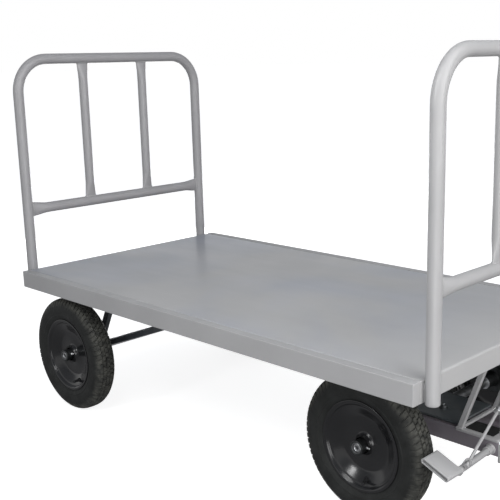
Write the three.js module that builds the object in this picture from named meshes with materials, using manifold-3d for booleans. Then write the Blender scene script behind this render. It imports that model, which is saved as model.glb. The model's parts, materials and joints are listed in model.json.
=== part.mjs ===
// Platform trolley: a folded sheet-steel deck on four air-tyred wheels, a tube headboard at each
// end, and a steering bogie under the front that turns on a kingpin with its drawbar.
//
// Millimetres. While it is built, X = 0 is the middle of the deck, +X points to the drawbar, +Y is
// the left side and Z = 0 is the ground. The whole group is moved along X at the end, so that the
// origin is the middle of the trolley's footprint.

import * as THREE from 'three';
import { mergeVertices } from 'three/addons/utils/BufferGeometryUtils.js';
import Module from 'manifold-3d';

const wasm = await Module();
wasm.setup();

// ---------------------------------------------------------------- driving dimensions

const GAP = 0.3;                      // between pieces that touch or are welded together

const DECK_LENGTH = 1500;
const DECK_WIDTH = 800;
const DECK_TOP = 408;
const DECK_DEPTH = 50;
const SHEET = 3;                      // deck and rail sheet thickness
const RAIL_WIDTH = 25;                // side rails along both long edges
const FOLD_RADIUS = 6;                // outside radius of the deck's folded edges

const HOOP_TUBE = 31.8;               // headboard tube diameter
const HOOP_WALL = 2;
const HOOP_HALF_WIDTH = 354;          // middle of a post
const HOOP_TOP = 1060.6;              // middle of the top bar
const HOOP_FOOT = 354;                // lower end of the posts
const HOOP_BEND = 103;                // bend radius on the tube's middle line
const CROSSBAR_Z = 596;
const BAR_TUBE = 28.6;                // the two upright bars
const BAR_Y = 118;

const TYRE_RADIUS = 174;
const TYRE_SIDES = 32;
const RIM_LIP_RADIUS = 110.5;
const HUB_HALF_LENGTH = 41;
const AXLE_RADIUS = 10;
const AXLE_THICK_RADIUS = 12.5;       // between the hubs
const REAR_WHEEL_X = -543.7;
const REAR_WHEEL_Y = 360;
const FRONT_WHEEL_X = 534;
const FRONT_WHEEL_Y = 275;
const AXLE_Z = TYRE_RADIUS;

const TURNTABLE_RADIUS = 205;
const TURNTABLE_PLATE = 6;
const KINGPIN_RADIUS = 10;

const BEAM_Y = 85;                    // outer face of the bogie's two beams
const BEAM_TOP = 184.2;
const BEAM_HEIGHT = 41;
const BEAM_REAR = 400;
const BEAM_FRONT = 765;
const SUBFRAME_REAR = 652.3;
const SUBFRAME_THICK = 7;
const STRUT_SIZE = 13;
const STRUT_LEAN = 0.37;              // forward run for each unit of rise
const STRUT_FOOT_X = 661;

const DRAWBAR_PIVOT = new THREE.Vector3(808, 0, 150);
const DRAWBAR_LENGTH = 850;
const DRAWBAR_TUBE = 32;
const DRAWBAR_DROP = THREE.MathUtils.degToRad(8.7);   // below level when it is let down
const HANDLE_TUBE = 25;
const GRIP_TUBE = 32;
const HANDLE_HALF_WIDTH = 150;

const PEDAL_ROOT = new THREE.Vector3(746, -87, 158);  // where the pedal's shaft leaves the beam
const PEDAL_TIP = new THREE.Vector3(773.4, -264, 177.1);
const PEDAL_TUBE = 16;
const ROD_TUBE = 7;

// ---------------------------------------------------------------- derived heights

const DECK_UNDERSIDE = DECK_TOP - DECK_DEPTH;
const DECK_HALF = DECK_LENGTH / 2;
const RAIL_INNER_Y = DECK_WIDTH / 2 - RAIL_WIDTH;
const HOOP_X = DECK_HALF + HOOP_TUBE / 2;
const UPPER_PLATE_TOP = DECK_UNDERSIDE - GAP;
const UPPER_PLATE_BOTTOM = UPPER_PLATE_TOP - TURNTABLE_PLATE;
const LOWER_PLATE_TOP = UPPER_PLATE_BOTTOM - GAP;
const LOWER_PLATE_BOTTOM = LOWER_PLATE_TOP - TURNTABLE_PLATE;
const BEAM_BOTTOM = BEAM_TOP - BEAM_HEIGHT;
const STRUT_TOP = LOWER_PLATE_BOTTOM - GAP;

// ---------------------------------------------------------------- materials

function finish(hex, roughness, metalness) {
  return new THREE.MeshStandardMaterial({ color: hex, roughness, metalness });
}

const GREY_PAINT = finish(0xb4b6ba, 0.42, 0.0);
const SHADED_PAINT = finish(0x6f757a, 0.5, 0.0);
const DARK_PRIMER = finish(0x4b454a, 0.6, 0.0);
const BLACK_ENAMEL = finish(0x17181a, 0.25, 0.0);
const TYRE_RUBBER = finish(0x222423, 0.85, 0.0);
const ZINC = finish(0x8e9498, 0.4, 0.8);
const BRIGHT_STEEL = finish(0xa9acae, 0.35, 0.9);
const BLACK_GRIP = finish(0x1d1d1e, 0.8, 0.0);

// ---------------------------------------------------------------- helpers: plain solids

const X_AXIS = new THREE.Vector3(1, 0, 0);
const Y_AXIS = new THREE.Vector3(0, 1, 0);
const Z_AXIS = new THREE.Vector3(0, 0, 1);

function box(x0, x1, y0, y1, z0, z1) {
  const geometry = new THREE.BoxGeometry(x1 - x0, y1 - y0, z1 - z0);
  geometry.translate((x0 + x1) / 2, (y0 + y1) / 2, (z0 + z1) / 2);
  return geometry;
}

function outline(points) {
  return new THREE.Shape(points.map(([a, b]) => new THREE.Vector2(a, b)));
}

function circleOutline(radius, a = 0, b = 0) {
  const shape = new THREE.Shape();
  shape.absarc(a, b, radius, 0, Math.PI * 2, false);
  return shape;
}

// An outline drawn in X and Y, from height z0 to z1.
function slabXY(shape, z0, z1, curveSegments = 8) {
  const options = { depth: z1 - z0, bevelEnabled: false, curveSegments };
  return new THREE.ExtrudeGeometry(shape, options).translate(0, 0, z0);
}

// An outline drawn in X and Z, from y0 to y1.
function slabXZ(shape, y0, y1, curveSegments = 8) {
  const options = { depth: y1 - y0, bevelEnabled: false, curveSegments };
  const basis = new THREE.Matrix4().makeBasis(X_AXIS, Z_AXIS, Y_AXIS.clone().negate());
  return new THREE.ExtrudeGeometry(shape, options).applyMatrix4(basis).translate(0, y1, 0);
}

// An outline drawn in Y and Z, from x0 to x1.
function slabYZ(shape, x0, x1, curveSegments = 8) {
  const options = { depth: x1 - x0, bevelEnabled: false, curveSegments };
  const basis = new THREE.Matrix4().makeBasis(Y_AXIS, Z_AXIS, X_AXIS);
  return new THREE.ExtrudeGeometry(shape, options).applyMatrix4(basis).translate(x0, 0, 0);
}

// A closed profile of [radius, height] pairs turned round the Y axis, with a flat at the bottom.
function turned(profile, sides) {
  const closed = [...profile, profile[0]].map(([r, y]) => new THREE.Vector2(r, y));
  return new THREE.LatheGeometry(closed, sides, Math.PI / sides, Math.PI * 2);
}

// A round bar or, with a bore, a tube, between two points.
function bar(start, end, radius, bore = 0, sides = 16) {
  const length = start.distanceTo(end);
  const profile = [[bore, 0], [radius, 0], [radius, length], [bore, length]];
  const geometry = turned(profile, sides);
  const direction = end.clone().sub(start).normalize();
  geometry.applyQuaternion(new THREE.Quaternion().setFromUnitVectors(Y_AXIS, direction));
  return geometry.translate(start.x, start.y, start.z);
}

// ---------------------------------------------------------------- helpers: joining and cutting

function weldedPoints(geometry) {
  const bare = new THREE.BufferGeometry();
  bare.setAttribute('position', geometry.getAttribute('position'));
  if (geometry.index) bare.setIndex(geometry.index);
  return mergeVertices(bare, 1e-4);
}

function withoutSlivers(geometry) {
  const kept = [];
  const index = geometry.index.array;
  for (let i = 0; i < index.length; i += 3) {
    const [a, b, c] = [index[i], index[i + 1], index[i + 2]];
    if (a !== b && b !== c && c !== a) kept.push(a, b, c);
  }
  geometry.setIndex(kept);
  return geometry;
}

function signedVolume(geometry) {
  const position = geometry.getAttribute('position');
  const index = geometry.index.array;
  const [a, b, c] = [new THREE.Vector3(), new THREE.Vector3(), new THREE.Vector3()];
  let total = 0;
  for (let i = 0; i < index.length; i += 3) {
    a.fromBufferAttribute(position, index[i]);
    b.fromBufferAttribute(position, index[i + 1]);
    c.fromBufferAttribute(position, index[i + 2]);
    total += a.dot(b.cross(c)) / 6;
  }
  return total;
}

// A geometry with shared points and all of its faces pointing outwards.
function facingOut(geometry) {
  const clean = withoutSlivers(weldedPoints(geometry));
  if (signedVolume(clean) < 0) {
    const index = clean.index.array;
    for (let i = 0; i < index.length; i += 3) {
      [index[i], index[i + 1]] = [index[i + 1], index[i]];
    }
  }
  return clean;
}

function toManifold(geometry) {
  const clean = facingOut(geometry);
  const vertProperties = new Float32Array(clean.getAttribute('position').array);
  const triVerts = new Uint32Array(clean.index.array);
  return new wasm.Manifold(new wasm.Mesh({ numProp: 3, vertProperties, triVerts }));
}

function fromManifold(solid) {
  const mesh = solid.getMesh();
  const geometry = new THREE.BufferGeometry();
  geometry.setAttribute('position', new THREE.BufferAttribute(mesh.vertProperties, 3));
  geometry.setIndex(new THREE.BufferAttribute(mesh.triVerts, 1));
  return geometry;
}

function joined(...geometries) {
  const solids = geometries.map(toManifold);
  return fromManifold(solids.reduce((whole, next) => whole.add(next)));
}

function cut(geometry, ...tools) {
  const whole = tools.map(toManifold).reduce((rest, tool) => rest.subtract(tool), toManifold(geometry));
  return fromManifold(whole);
}

function common(a, b) {
  return fromManifold(toManifold(a).intersect(toManifold(b)));
}

// ---------------------------------------------------------------- helpers: bent and squashed tube

// A path with its sections only where they are needed: at each end, and through each bend.
class StationCurve extends THREE.Curve {
  constructor(stations) {
    super();
    this.stations = stations;
  }

  station(t) {
    return this.stations[Math.round(t * (this.stations.length - 1))];
  }

  getPointAt(t) {
    return this.station(t).point.clone();
  }

  getTangentAt(t) {
    return this.station(t).tangent.clone();
  }
}

// The stations of a path through the corners, with a round bend of the given radius at each one.
function bentPath(corners, radius, bendSteps) {
  const last = corners.length - 1;
  const startDirection = corners[1].clone().sub(corners[0]).normalize();
  const stations = [{ point: corners[0], tangent: startDirection }];
  for (let i = 1; i < last; i += 1) {
    const into = corners[i].clone().sub(corners[i - 1]).normalize();
    const out = corners[i + 1].clone().sub(corners[i]).normalize();
    const angle = into.angleTo(out);
    const setback = radius * Math.tan(angle / 2);
    const side = out.clone().addScaledVector(into, -into.dot(out)).normalize();
    const start = corners[i].clone().addScaledVector(into, -setback);
    for (let k = 0; k <= bendSteps; k += 1) {
      const a = (angle * k) / bendSteps;
      const point = start.clone();
      point.addScaledVector(into, radius * Math.sin(a));
      point.addScaledVector(side, radius * (1 - Math.cos(a)));
      const tangent = into.clone().multiplyScalar(Math.cos(a)).addScaledVector(side, Math.sin(a));
      stations.push({ point, tangent });
    }
  }
  const endDirection = corners[last].clone().sub(corners[last - 1]).normalize();
  stations.push({ point: corners[last], tangent: endDirection });
  return new StationCurve(stations);
}

function tubeSection(diameter, wall) {
  const shape = circleOutline(diameter / 2);
  if (wall > 0) shape.holes.push(circleOutline(diameter / 2 - wall));
  return shape;
}

function tubeAlong(path, diameter, wall, sides = 12) {
  const options = {
    steps: path.stations.length - 1,
    extrudePath: path,
    bevelEnabled: false,
    curveSegments: sides / 2,           // an arc gets two sides for each
  };
  return new THREE.ExtrudeGeometry(tubeSection(diameter, wall), options);
}

// A straight tube along X, centred on the origin, whose ends are squashed flat: over the last
// stretch it narrows to `thin` of its diameter in Y and widens to `wide` of it in Z.
function squashedTube(length, diameter, wall, stretch, thin, wide) {
  const half = length / 2;
  const stops = [0, 0.5, 1].map((share) => half - stretch + stretch * share);
  const positions = [...stops.slice().reverse().map((x) => -x), ...stops];
  const stations = positions.map((x) => ({ point: new THREE.Vector3(x, 0, 0), tangent: X_AXIS }));
  const geometry = tubeAlong(new StationCurve(stations), diameter, wall);
  const position = geometry.getAttribute('position');
  for (let i = 0; i < position.count; i += 1) {
    const x = position.getX(i);
    const share = THREE.MathUtils.smoothstep(Math.abs(x), half - stretch, half);
    position.setY(i, position.getY(i) * THREE.MathUtils.lerp(1, thin, share));
    position.setZ(i, position.getZ(i) * THREE.MathUtils.lerp(1, wide, share));
  }
  return geometry;
}

// ---------------------------------------------------------------- the assembly

const trolley = new THREE.Group();

function add(name, geometry, material, parent = trolley) {
  const mesh = new THREE.Mesh(facingOut(geometry), material);
  mesh.name = name;
  parent.add(mesh);
  return mesh;
}

const SIDES = [
  { name: 'right', sign: -1 },
  { name: 'left', sign: 1 },
];

// ---------------------------------------------------------------- deck

function roundedTopOutline(halfWidth) {
  const shape = new THREE.Shape();
  shape.moveTo(-halfWidth, DECK_UNDERSIDE);
  shape.lineTo(halfWidth, DECK_UNDERSIDE);
  shape.lineTo(halfWidth, DECK_TOP - FOLD_RADIUS);
  shape.absarc(halfWidth - FOLD_RADIUS, DECK_TOP - FOLD_RADIUS, FOLD_RADIUS, 0, Math.PI / 2, false);
  shape.lineTo(-halfWidth + FOLD_RADIUS, DECK_TOP);
  shape.absarc(-halfWidth + FOLD_RADIUS, DECK_TOP - FOLD_RADIUS, FOLD_RADIUS, Math.PI / 2, Math.PI, false);
  return shape;
}

function deckTray() {
  const halfLength = DECK_HALF - GAP;
  const halfWidth = RAIL_INNER_Y - GAP;
  const lengthwise = slabXZ(roundedTopOutline(halfLength), -halfWidth, halfWidth, 4);
  const crosswise = slabYZ(roundedTopOutline(halfWidth), -halfLength, halfLength, 4);
  const inside = box(
    -halfLength + SHEET, halfLength - SHEET,
    -halfWidth + SHEET, halfWidth - SHEET,
    DECK_UNDERSIDE - 1, DECK_TOP - SHEET,
  );
  return cut(common(lengthwise, crosswise), inside);
}

// A rail is a folded channel, open towards the deck, with its ends closed.
function sideRail(sign) {
  const outer = sign * (DECK_WIDTH / 2);
  const inner = sign * RAIL_INNER_Y;
  const web = outer - sign * SHEET;
  const past = inner - sign;
  const body = box(
    -DECK_HALF, DECK_HALF,
    Math.min(outer, inner), Math.max(outer, inner),
    DECK_UNDERSIDE, DECK_TOP,
  );
  const hollow = box(
    -DECK_HALF + SHEET, DECK_HALF - SHEET,
    Math.min(web, past), Math.max(web, past),
    DECK_UNDERSIDE + SHEET, DECK_TOP - SHEET,
  );
  return cut(body, hollow);
}

const CROSS_MEMBER_WIDTH = 40;
const CROSS_MEMBER_WALL = 4;
const CROSS_MEMBER_HALF_LENGTH = RAIL_INNER_Y - GAP - SHEET - GAP;
const REAR_LEG_RUN = 95.6;            // how far the axle's two legs spread at the deck
const REAR_BRACE_TOP_X = -61.5;
const CROSS_MEMBER_X = [
  REAR_WHEEL_X - REAR_LEG_RUN,
  REAR_WHEEL_X + REAR_LEG_RUN,
  REAR_BRACE_TOP_X,
  FRONT_WHEEL_X - 150,
  FRONT_WHEEL_X + 150,
];

function crossMember(x) {
  const top = DECK_TOP - SHEET - GAP;
  const left = x - CROSS_MEMBER_WIDTH / 2;
  const right = x + CROSS_MEMBER_WIDTH / 2;
  const wall = CROSS_MEMBER_WALL;
  const section = outline([
    [left, DECK_UNDERSIDE], [right, DECK_UNDERSIDE], [right, DECK_UNDERSIDE + wall],
    [left + wall, DECK_UNDERSIDE + wall], [left + wall, top - wall],
    [right, top - wall], [right, top], [left, top],
  ]);
  return slabXZ(section, -CROSS_MEMBER_HALF_LENGTH, CROSS_MEMBER_HALF_LENGTH);
}

add('deck_tray', deckTray(), GREY_PAINT);
for (const side of SIDES) {
  add(`side_rail_${side.name}`, sideRail(side.sign), GREY_PAINT);
}
CROSS_MEMBER_X.forEach((x, i) => {
  add(`cross_member_${i + 1}`, crossMember(x), SHADED_PAINT);
});

// ---------------------------------------------------------------- headboards

function hoop(x) {
  const corners = [
    new THREE.Vector3(x, -HOOP_HALF_WIDTH, HOOP_FOOT),
    new THREE.Vector3(x, -HOOP_HALF_WIDTH, HOOP_TOP),
    new THREE.Vector3(x, HOOP_HALF_WIDTH, HOOP_TOP),
    new THREE.Vector3(x, HOOP_HALF_WIDTH, HOOP_FOOT),
  ];
  return tubeAlong(bentPath(corners, HOOP_BEND, 6), HOOP_TUBE, HOOP_WALL);
}

const SQUASH_THIN = 0.44;             // of the tube's diameter, at a squashed end
const SQUASH_WIDE = 1.4;
const SQUASH_STRETCH = 60;

function crossbar(x) {
  const length = 2 * (HOOP_HALF_WIDTH - HOOP_TUBE / 2 - GAP);
  const tube = squashedTube(length, HOOP_TUBE, HOOP_WALL, SQUASH_STRETCH, SQUASH_THIN, SQUASH_WIDE);
  return tube.rotateZ(Math.PI / 2).translate(x, 0, CROSSBAR_Z);
}

function uprightBar(x, y) {
  const low = CROSSBAR_Z + HOOP_TUBE / 2 + GAP;
  const high = HOOP_TOP - HOOP_TUBE / 2 - GAP;
  const tube = squashedTube(high - low, BAR_TUBE, HOOP_WALL, SQUASH_STRETCH, SQUASH_WIDE, SQUASH_THIN);
  return tube.rotateY(Math.PI / 2).translate(x, y, (low + high) / 2);
}

for (const end of [{ name: 'front', sign: 1 }, { name: 'rear', sign: -1 }]) {
  const x = end.sign * HOOP_X;
  add(`${end.name}_headboard_hoop`, hoop(x), GREY_PAINT);
  add(`${end.name}_headboard_crossbar`, crossbar(x), GREY_PAINT);
  for (const side of SIDES) {
    add(`${end.name}_headboard_bar_${side.name}`, uprightBar(x, side.sign * BAR_Y), GREY_PAINT);
  }
}

// ---------------------------------------------------------------- axles and what holds them

function axle(x, wheelY) {
  const end = wheelY + HUB_HALF_LENGTH - 2;
  const shoulder = wheelY - HUB_HALF_LENGTH - GAP;
  const profile = [
    [0, -end], [AXLE_RADIUS, -end], [AXLE_RADIUS, -shoulder], [AXLE_THICK_RADIUS, -shoulder],
    [AXLE_THICK_RADIUS, shoulder], [AXLE_RADIUS, shoulder], [AXLE_RADIUS, end], [0, end],
  ];
  return turned(profile, 20).translate(x, 0, AXLE_Z);
}

function axleHole(x) {
  const far = REAR_WHEEL_Y;
  const start = new THREE.Vector3(x, -far, AXLE_Z);
  const end = new THREE.Vector3(x, far, AXLE_Z);
  return bar(start, end, AXLE_THICK_RADIUS + 0.4, 0, 20);
}

// A sloping bar in an XZ plane, from (x0, z0) to (x1, z1), with level ends.
function slopingBar(x0, z0, x1, z1, size, y0, y1) {
  const slope = Math.hypot(x1 - x0, z1 - z0) / Math.abs(z1 - z0);
  const half = (size * slope) / 2;
  const shape = outline([[x0 - half, z0], [x0 + half, z0], [x1 + half, z1], [x1 - half, z1]]);
  return slabXZ(shape, y0, y1);
}

const LEG_SIZE = 20;
const LEG_Y = 264;                    // inner face of a leg plate, from the middle
const LEG_THICK = 16;
const BRACE_SIZE = 15;
const BOSS_RADIUS = 24;

function between(sign, near, far) {
  return sign > 0 ? [near, far] : [-far, -near];
}

function rearAxleLeg(sign) {
  const [y0, y1] = between(sign, LEG_Y, LEG_Y + LEG_THICK);
  const top = DECK_UNDERSIDE - GAP;
  const run = REAR_LEG_RUN;
  const boss = slabXZ(circleOutline(BOSS_RADIUS, REAR_WHEEL_X, AXLE_Z), y0, y1);
  const frontLeg = slopingBar(REAR_WHEEL_X, AXLE_Z, REAR_WHEEL_X + run, top, LEG_SIZE, y0, y1);
  const rearLeg = slopingBar(REAR_WHEEL_X, AXLE_Z, REAR_WHEEL_X - run, top, LEG_SIZE, y0, y1);
  return cut(joined(boss, frontLeg, rearLeg), axleHole(REAR_WHEEL_X));
}

function rearBrace(sign) {
  const [y0, y1] = between(sign, LEG_Y - GAP - BRACE_SIZE, LEG_Y - GAP);
  const top = DECK_UNDERSIDE - GAP;
  const boss = slabXZ(circleOutline(BOSS_RADIUS, REAR_WHEEL_X, AXLE_Z), y0, y1);
  const brace = slopingBar(REAR_WHEEL_X, AXLE_Z, REAR_BRACE_TOP_X, top, BRACE_SIZE, y0, y1);
  return cut(joined(boss, brace), axleHole(REAR_WHEEL_X));
}

add('rear_axle', axle(REAR_WHEEL_X, REAR_WHEEL_Y), SHADED_PAINT);
for (const side of SIDES) {
  add(`rear_axle_leg_${side.name}`, rearAxleLeg(side.sign), DARK_PRIMER);
  add(`rear_brace_${side.name}`, rearBrace(side.sign), DARK_PRIMER);
}

// ---------------------------------------------------------------- turntable

function turntablePlate(bottom, top) {
  const bore = KINGPIN_RADIUS + 0.5;
  const profile = [[bore, bottom], [TURNTABLE_RADIUS, bottom], [TURNTABLE_RADIUS, top], [bore, top]];
  return turned(profile, 32).rotateX(Math.PI / 2).translate(FRONT_WHEEL_X, 0, 0);
}

const KINGPIN_BOTTOM = 312;
const KINGPIN_HEAD = 13;
const KINGPIN_NUT_RADIUS = 17.5;

function hexOutline(radius) {
  const points = [];
  for (let i = 0; i < 6; i += 1) {
    const angle = (Math.PI / 3) * i;
    points.push([FRONT_WHEEL_X + radius * Math.cos(angle), radius * Math.sin(angle)]);
  }
  return outline(points);
}

function kingpin() {
  const headBottom = UPPER_PLATE_TOP + GAP;
  const head = slabXY(hexOutline(KINGPIN_NUT_RADIUS), headBottom, headBottom + KINGPIN_HEAD);
  const shankTop = headBottom + KINGPIN_HEAD / 2;
  const shank = slabXY(circleOutline(KINGPIN_RADIUS, FRONT_WHEEL_X, 0), KINGPIN_BOTTOM, shankTop);
  return joined(head, shank);
}

function kingpinNut() {
  const top = LOWER_PLATE_BOTTOM - GAP;
  const shape = hexOutline(KINGPIN_NUT_RADIUS);
  shape.holes.push(circleOutline(KINGPIN_RADIUS + GAP, FRONT_WHEEL_X, 0));
  return slabXY(shape, top - 16, top);
}

add('turntable_upper_plate', turntablePlate(UPPER_PLATE_BOTTOM, UPPER_PLATE_TOP), SHADED_PAINT);
add('kingpin', kingpin(), BRIGHT_STEEL);
add('kingpin_nut', kingpinNut(), BRIGHT_STEEL);
add('turntable_lower_plate', turntablePlate(LOWER_PLATE_BOTTOM, LOWER_PLATE_TOP), SHADED_PAINT);

// ---------------------------------------------------------------- steering bogie

const BEAM_FLANGE = 25;
const BEAM_WALL = 5;

// A channel, open towards the middle, with its front top edge lowered under the subframe.
function bogieBeam(sign) {
  const wall = BEAM_WALL;
  const outer = sign * BEAM_Y;
  const inner = sign * (BEAM_Y - BEAM_FLANGE);
  const web = sign * (BEAM_Y - wall);
  const section = outline([
    [outer, BEAM_BOTTOM], [inner, BEAM_BOTTOM], [inner, BEAM_BOTTOM + wall],
    [web, BEAM_BOTTOM + wall], [web, BEAM_TOP - wall],
    [inner, BEAM_TOP - wall], [inner, BEAM_TOP], [outer, BEAM_TOP],
  ]);
  const notch = box(
    SUBFRAME_REAR - GAP, BEAM_FRONT + 1, -BEAM_Y - 1, BEAM_Y + 1,
    BEAM_TOP - SUBFRAME_THICK - GAP, BEAM_TOP + 1,
  );
  return cut(slabYZ(section, BEAM_REAR, BEAM_FRONT), notch, axleHole(FRONT_WHEEL_X));
}

const BOGIE_PLATE_REAR = 425;
const BOGIE_PLATE_HALF_WIDTH = 76;
const BOGIE_PLATE_THICK = 5;

function bogiePlate() {
  const bottom = Math.max(BEAM_TOP, AXLE_Z + AXLE_THICK_RADIUS) + GAP;
  return box(
    BOGIE_PLATE_REAR, SUBFRAME_REAR - GAP,
    -BOGIE_PLATE_HALF_WIDTH, BOGIE_PLATE_HALF_WIDTH,
    bottom, bottom + BOGIE_PLATE_THICK,
  );
}

const SUBFRAME_FRONT_BAR = 20;
const SUBFRAME_REAR_BAR = 9;
const SUBFRAME_SIDE = 14;

// A rectangle of flat bar that ties the beams together at the front.
function subframe() {
  const front = BEAM_FRONT;
  const halfWidth = BEAM_Y + 2;
  const shape = outline([
    [SUBFRAME_REAR, -halfWidth], [front, -halfWidth], [front, halfWidth], [SUBFRAME_REAR, halfWidth],
  ]);
  const holeRear = SUBFRAME_REAR + SUBFRAME_REAR_BAR;
  const holeFront = front - SUBFRAME_FRONT_BAR;
  const holeHalf = halfWidth - SUBFRAME_SIDE;
  shape.holes.push(outline([
    [holeRear, -holeHalf], [holeRear, holeHalf], [holeFront, holeHalf], [holeFront, -holeHalf],
  ]));
  return slabXY(shape, BEAM_TOP - SUBFRAME_THICK, BEAM_TOP);
}

function bogieStrut(sign, forward) {
  const [y0, y1] = between(sign, BEAM_Y + 2 - STRUT_SIZE, BEAM_Y + 2);
  const bottom = BEAM_TOP + GAP;
  const footRun = STRUT_FOOT_X - FRONT_WHEEL_X;
  const topRun = footRun + (STRUT_TOP - bottom) * STRUT_LEAN;
  const foot = FRONT_WHEEL_X + forward * footRun;
  const top = FRONT_WHEEL_X + forward * topRun;
  return slopingBar(foot, bottom, top, STRUT_TOP, STRUT_SIZE, y0, y1);
}

add('front_axle', axle(FRONT_WHEEL_X, FRONT_WHEEL_Y), BRIGHT_STEEL);
add('bogie_plate', bogiePlate(), SHADED_PAINT);
add('bogie_subframe', subframe(), GREY_PAINT);
for (const side of SIDES) {
  add(`bogie_beam_${side.name}`, bogieBeam(side.sign), DARK_PRIMER);
  add(`bogie_front_strut_${side.name}`, bogieStrut(side.sign, 1), GREY_PAINT);
  add(`bogie_rear_strut_${side.name}`, bogieStrut(side.sign, -1), GREY_PAINT);
}

// ---------------------------------------------------------------- drawbar

const BRACKET_CHEEK = 6;
const BRACKET_INSIDE = 22;            // from the middle to the inside of a cheek
const BRACKET_RADIUS = 18;
const DRAWBAR_SLEEVE = 30;
const DRAWBAR_PIN_RADIUS = 8;

function yBar(x, z, y0, y1, radius, bore = 0, sides = 16) {
  return bar(new THREE.Vector3(x, y0, z), new THREE.Vector3(x, y1, z), radius, bore, sides);
}

// A plate across the beam ends with two cheeks that hold the drawbar's pin.
function drawbarBracket() {
  const back = BEAM_FRONT + GAP;
  const { x, z } = DRAWBAR_PIVOT;
  const plate = box(back, back + BRACKET_CHEEK, -BEAM_Y, BEAM_Y, BEAM_BOTTOM - 14, BEAM_TOP - 12);
  const cheeks = [-1, 1].map((sign) => {
    const [y0, y1] = between(sign, BRACKET_INSIDE, BRACKET_INSIDE + BRACKET_CHEEK);
    const shape = new THREE.Shape();
    shape.moveTo(back + 1, z - BRACKET_RADIUS);
    shape.lineTo(x, z - BRACKET_RADIUS);
    shape.absarc(x, z, BRACKET_RADIUS, -Math.PI / 2, Math.PI / 2, false);
    shape.lineTo(back + 1, z + BRACKET_RADIUS);
    return slabXZ(shape, y0, y1, 8);
  });
  const pinHole = yBar(x, z, -BEAM_Y, BEAM_Y, DRAWBAR_PIN_RADIUS + GAP);
  return cut(joined(plate, ...cheeks), pinHole);
}

function drawbarPin() {
  const { x, z } = DRAWBAR_PIVOT;
  const end = BRACKET_INSIDE + BRACKET_CHEEK + 1;
  const head = DRAWBAR_PIN_RADIUS + 4;
  const profile = [
    [0, -end - 5], [head, -end - 5], [head, -end], [DRAWBAR_PIN_RADIUS, -end],
    [DRAWBAR_PIN_RADIUS, end + 9], [0, end + 9],
  ];
  return turned(profile, 16).translate(x, 0, z);
}

const drawbarAxis = new THREE.Vector3(Math.cos(DRAWBAR_DROP), 0, -Math.sin(DRAWBAR_DROP));

function alongDrawbar(distance, y = 0) {
  return DRAWBAR_PIVOT.clone().addScaledVector(drawbarAxis, distance).setY(y);
}

function drawbarTube() {
  const { x, z } = DRAWBAR_PIVOT;
  const half = BRACKET_INSIDE - 1;
  const sleeve = yBar(x, z, -half, half, DRAWBAR_SLEEVE / 2);
  const end = alongDrawbar(DRAWBAR_LENGTH - HANDLE_TUBE / 2 - GAP);
  const tube = bar(alongDrawbar(0), end, DRAWBAR_TUBE / 2);
  const pinHole = yBar(x, z, -BEAM_Y, BEAM_Y, DRAWBAR_PIN_RADIUS + GAP);
  return cut(joined(sleeve, tube), pinHole);
}

const GRIP_LENGTH = 100;

function handleBar() {
  const end = alongDrawbar(DRAWBAR_LENGTH);
  return yBar(end.x, end.z, -HANDLE_HALF_WIDTH, HANDLE_HALF_WIDTH, HANDLE_TUBE / 2);
}

// A grip is a cup pushed over the end of the handle.
function handleGrip(sign) {
  const end = alongDrawbar(DRAWBAR_LENGTH);
  const inner = HANDLE_TUBE / 2 + GAP;
  const open = HANDLE_HALF_WIDTH - GRIP_LENGTH;
  const bottom = HANDLE_HALF_WIDTH + GAP;
  const closedEnd = HANDLE_HALF_WIDTH + 5;
  const profile = [
    [inner, open], [GRIP_TUBE / 2, open], [GRIP_TUBE / 2, closedEnd], [0, closedEnd],
    [0, bottom], [inner, bottom],
  ];
  return turned(profile, 16).scale(1, sign, 1).translate(end.x, 0, end.z);
}

add('drawbar_bracket', drawbarBracket(), GREY_PAINT);
add('drawbar_pin', drawbarPin(), BRIGHT_STEEL);
add('drawbar_tube', drawbarTube(), GREY_PAINT);
add('drawbar_handle', handleBar(), GREY_PAINT);
for (const side of SIDES) {
  add(`handle_grip_${side.name}`, handleGrip(side.sign), BLACK_GRIP);
}

// ---------------------------------------------------------------- tyre brake

// The pedal's shaft runs out from the right-hand beam; `above` and `behind` are square to it.
const pedalAxis = PEDAL_TIP.clone().sub(PEDAL_ROOT).normalize();
const pedalAbove = Z_AXIS.clone().addScaledVector(pedalAxis, -pedalAxis.z).normalize();
const pedalBehind = pedalAxis.clone().cross(pedalAbove).normalize();

function alongPedal(distance, above = 0, behind = 0) {
  const point = PEDAL_ROOT.clone().addScaledVector(pedalAxis, distance);
  point.addScaledVector(pedalAbove, above);
  return point.addScaledVector(pedalBehind, behind);
}

const PEDAL_LENGTH = PEDAL_ROOT.distanceTo(PEDAL_TIP);
const SHAFT_START = 4;
const SHAFT_END_CLEARANCE = 2;        // the shaft's end is square, the shoe's side is not
const LUG_AT = 156;                   // from the beam
const LUG_ABOVE = 16;
const LUG_BEHIND = -12;
const LUG_REACH = Math.hypot(LUG_ABOVE, LUG_BEHIND);
const LUG_THICK = 4;
const LUG_RADIUS = 9.5;
const LUG_HOLE = 5.9;
const LUG_FOOT = 3;                   // from the shaft's axis, so it runs into the shaft
const LUG_FOOT_HALF_WIDTH = 7;
const BOSS_OUTSIDE = 10.5;
const BOSS_START = 1.5;               // along the shaft, clear of the beam
const BOSS_END = 24;

function brakeBoss() {
  return bar(alongPedal(BOSS_START), alongPedal(BOSS_END), BOSS_OUTSIDE, PEDAL_TUBE / 2 + GAP);
}

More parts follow.
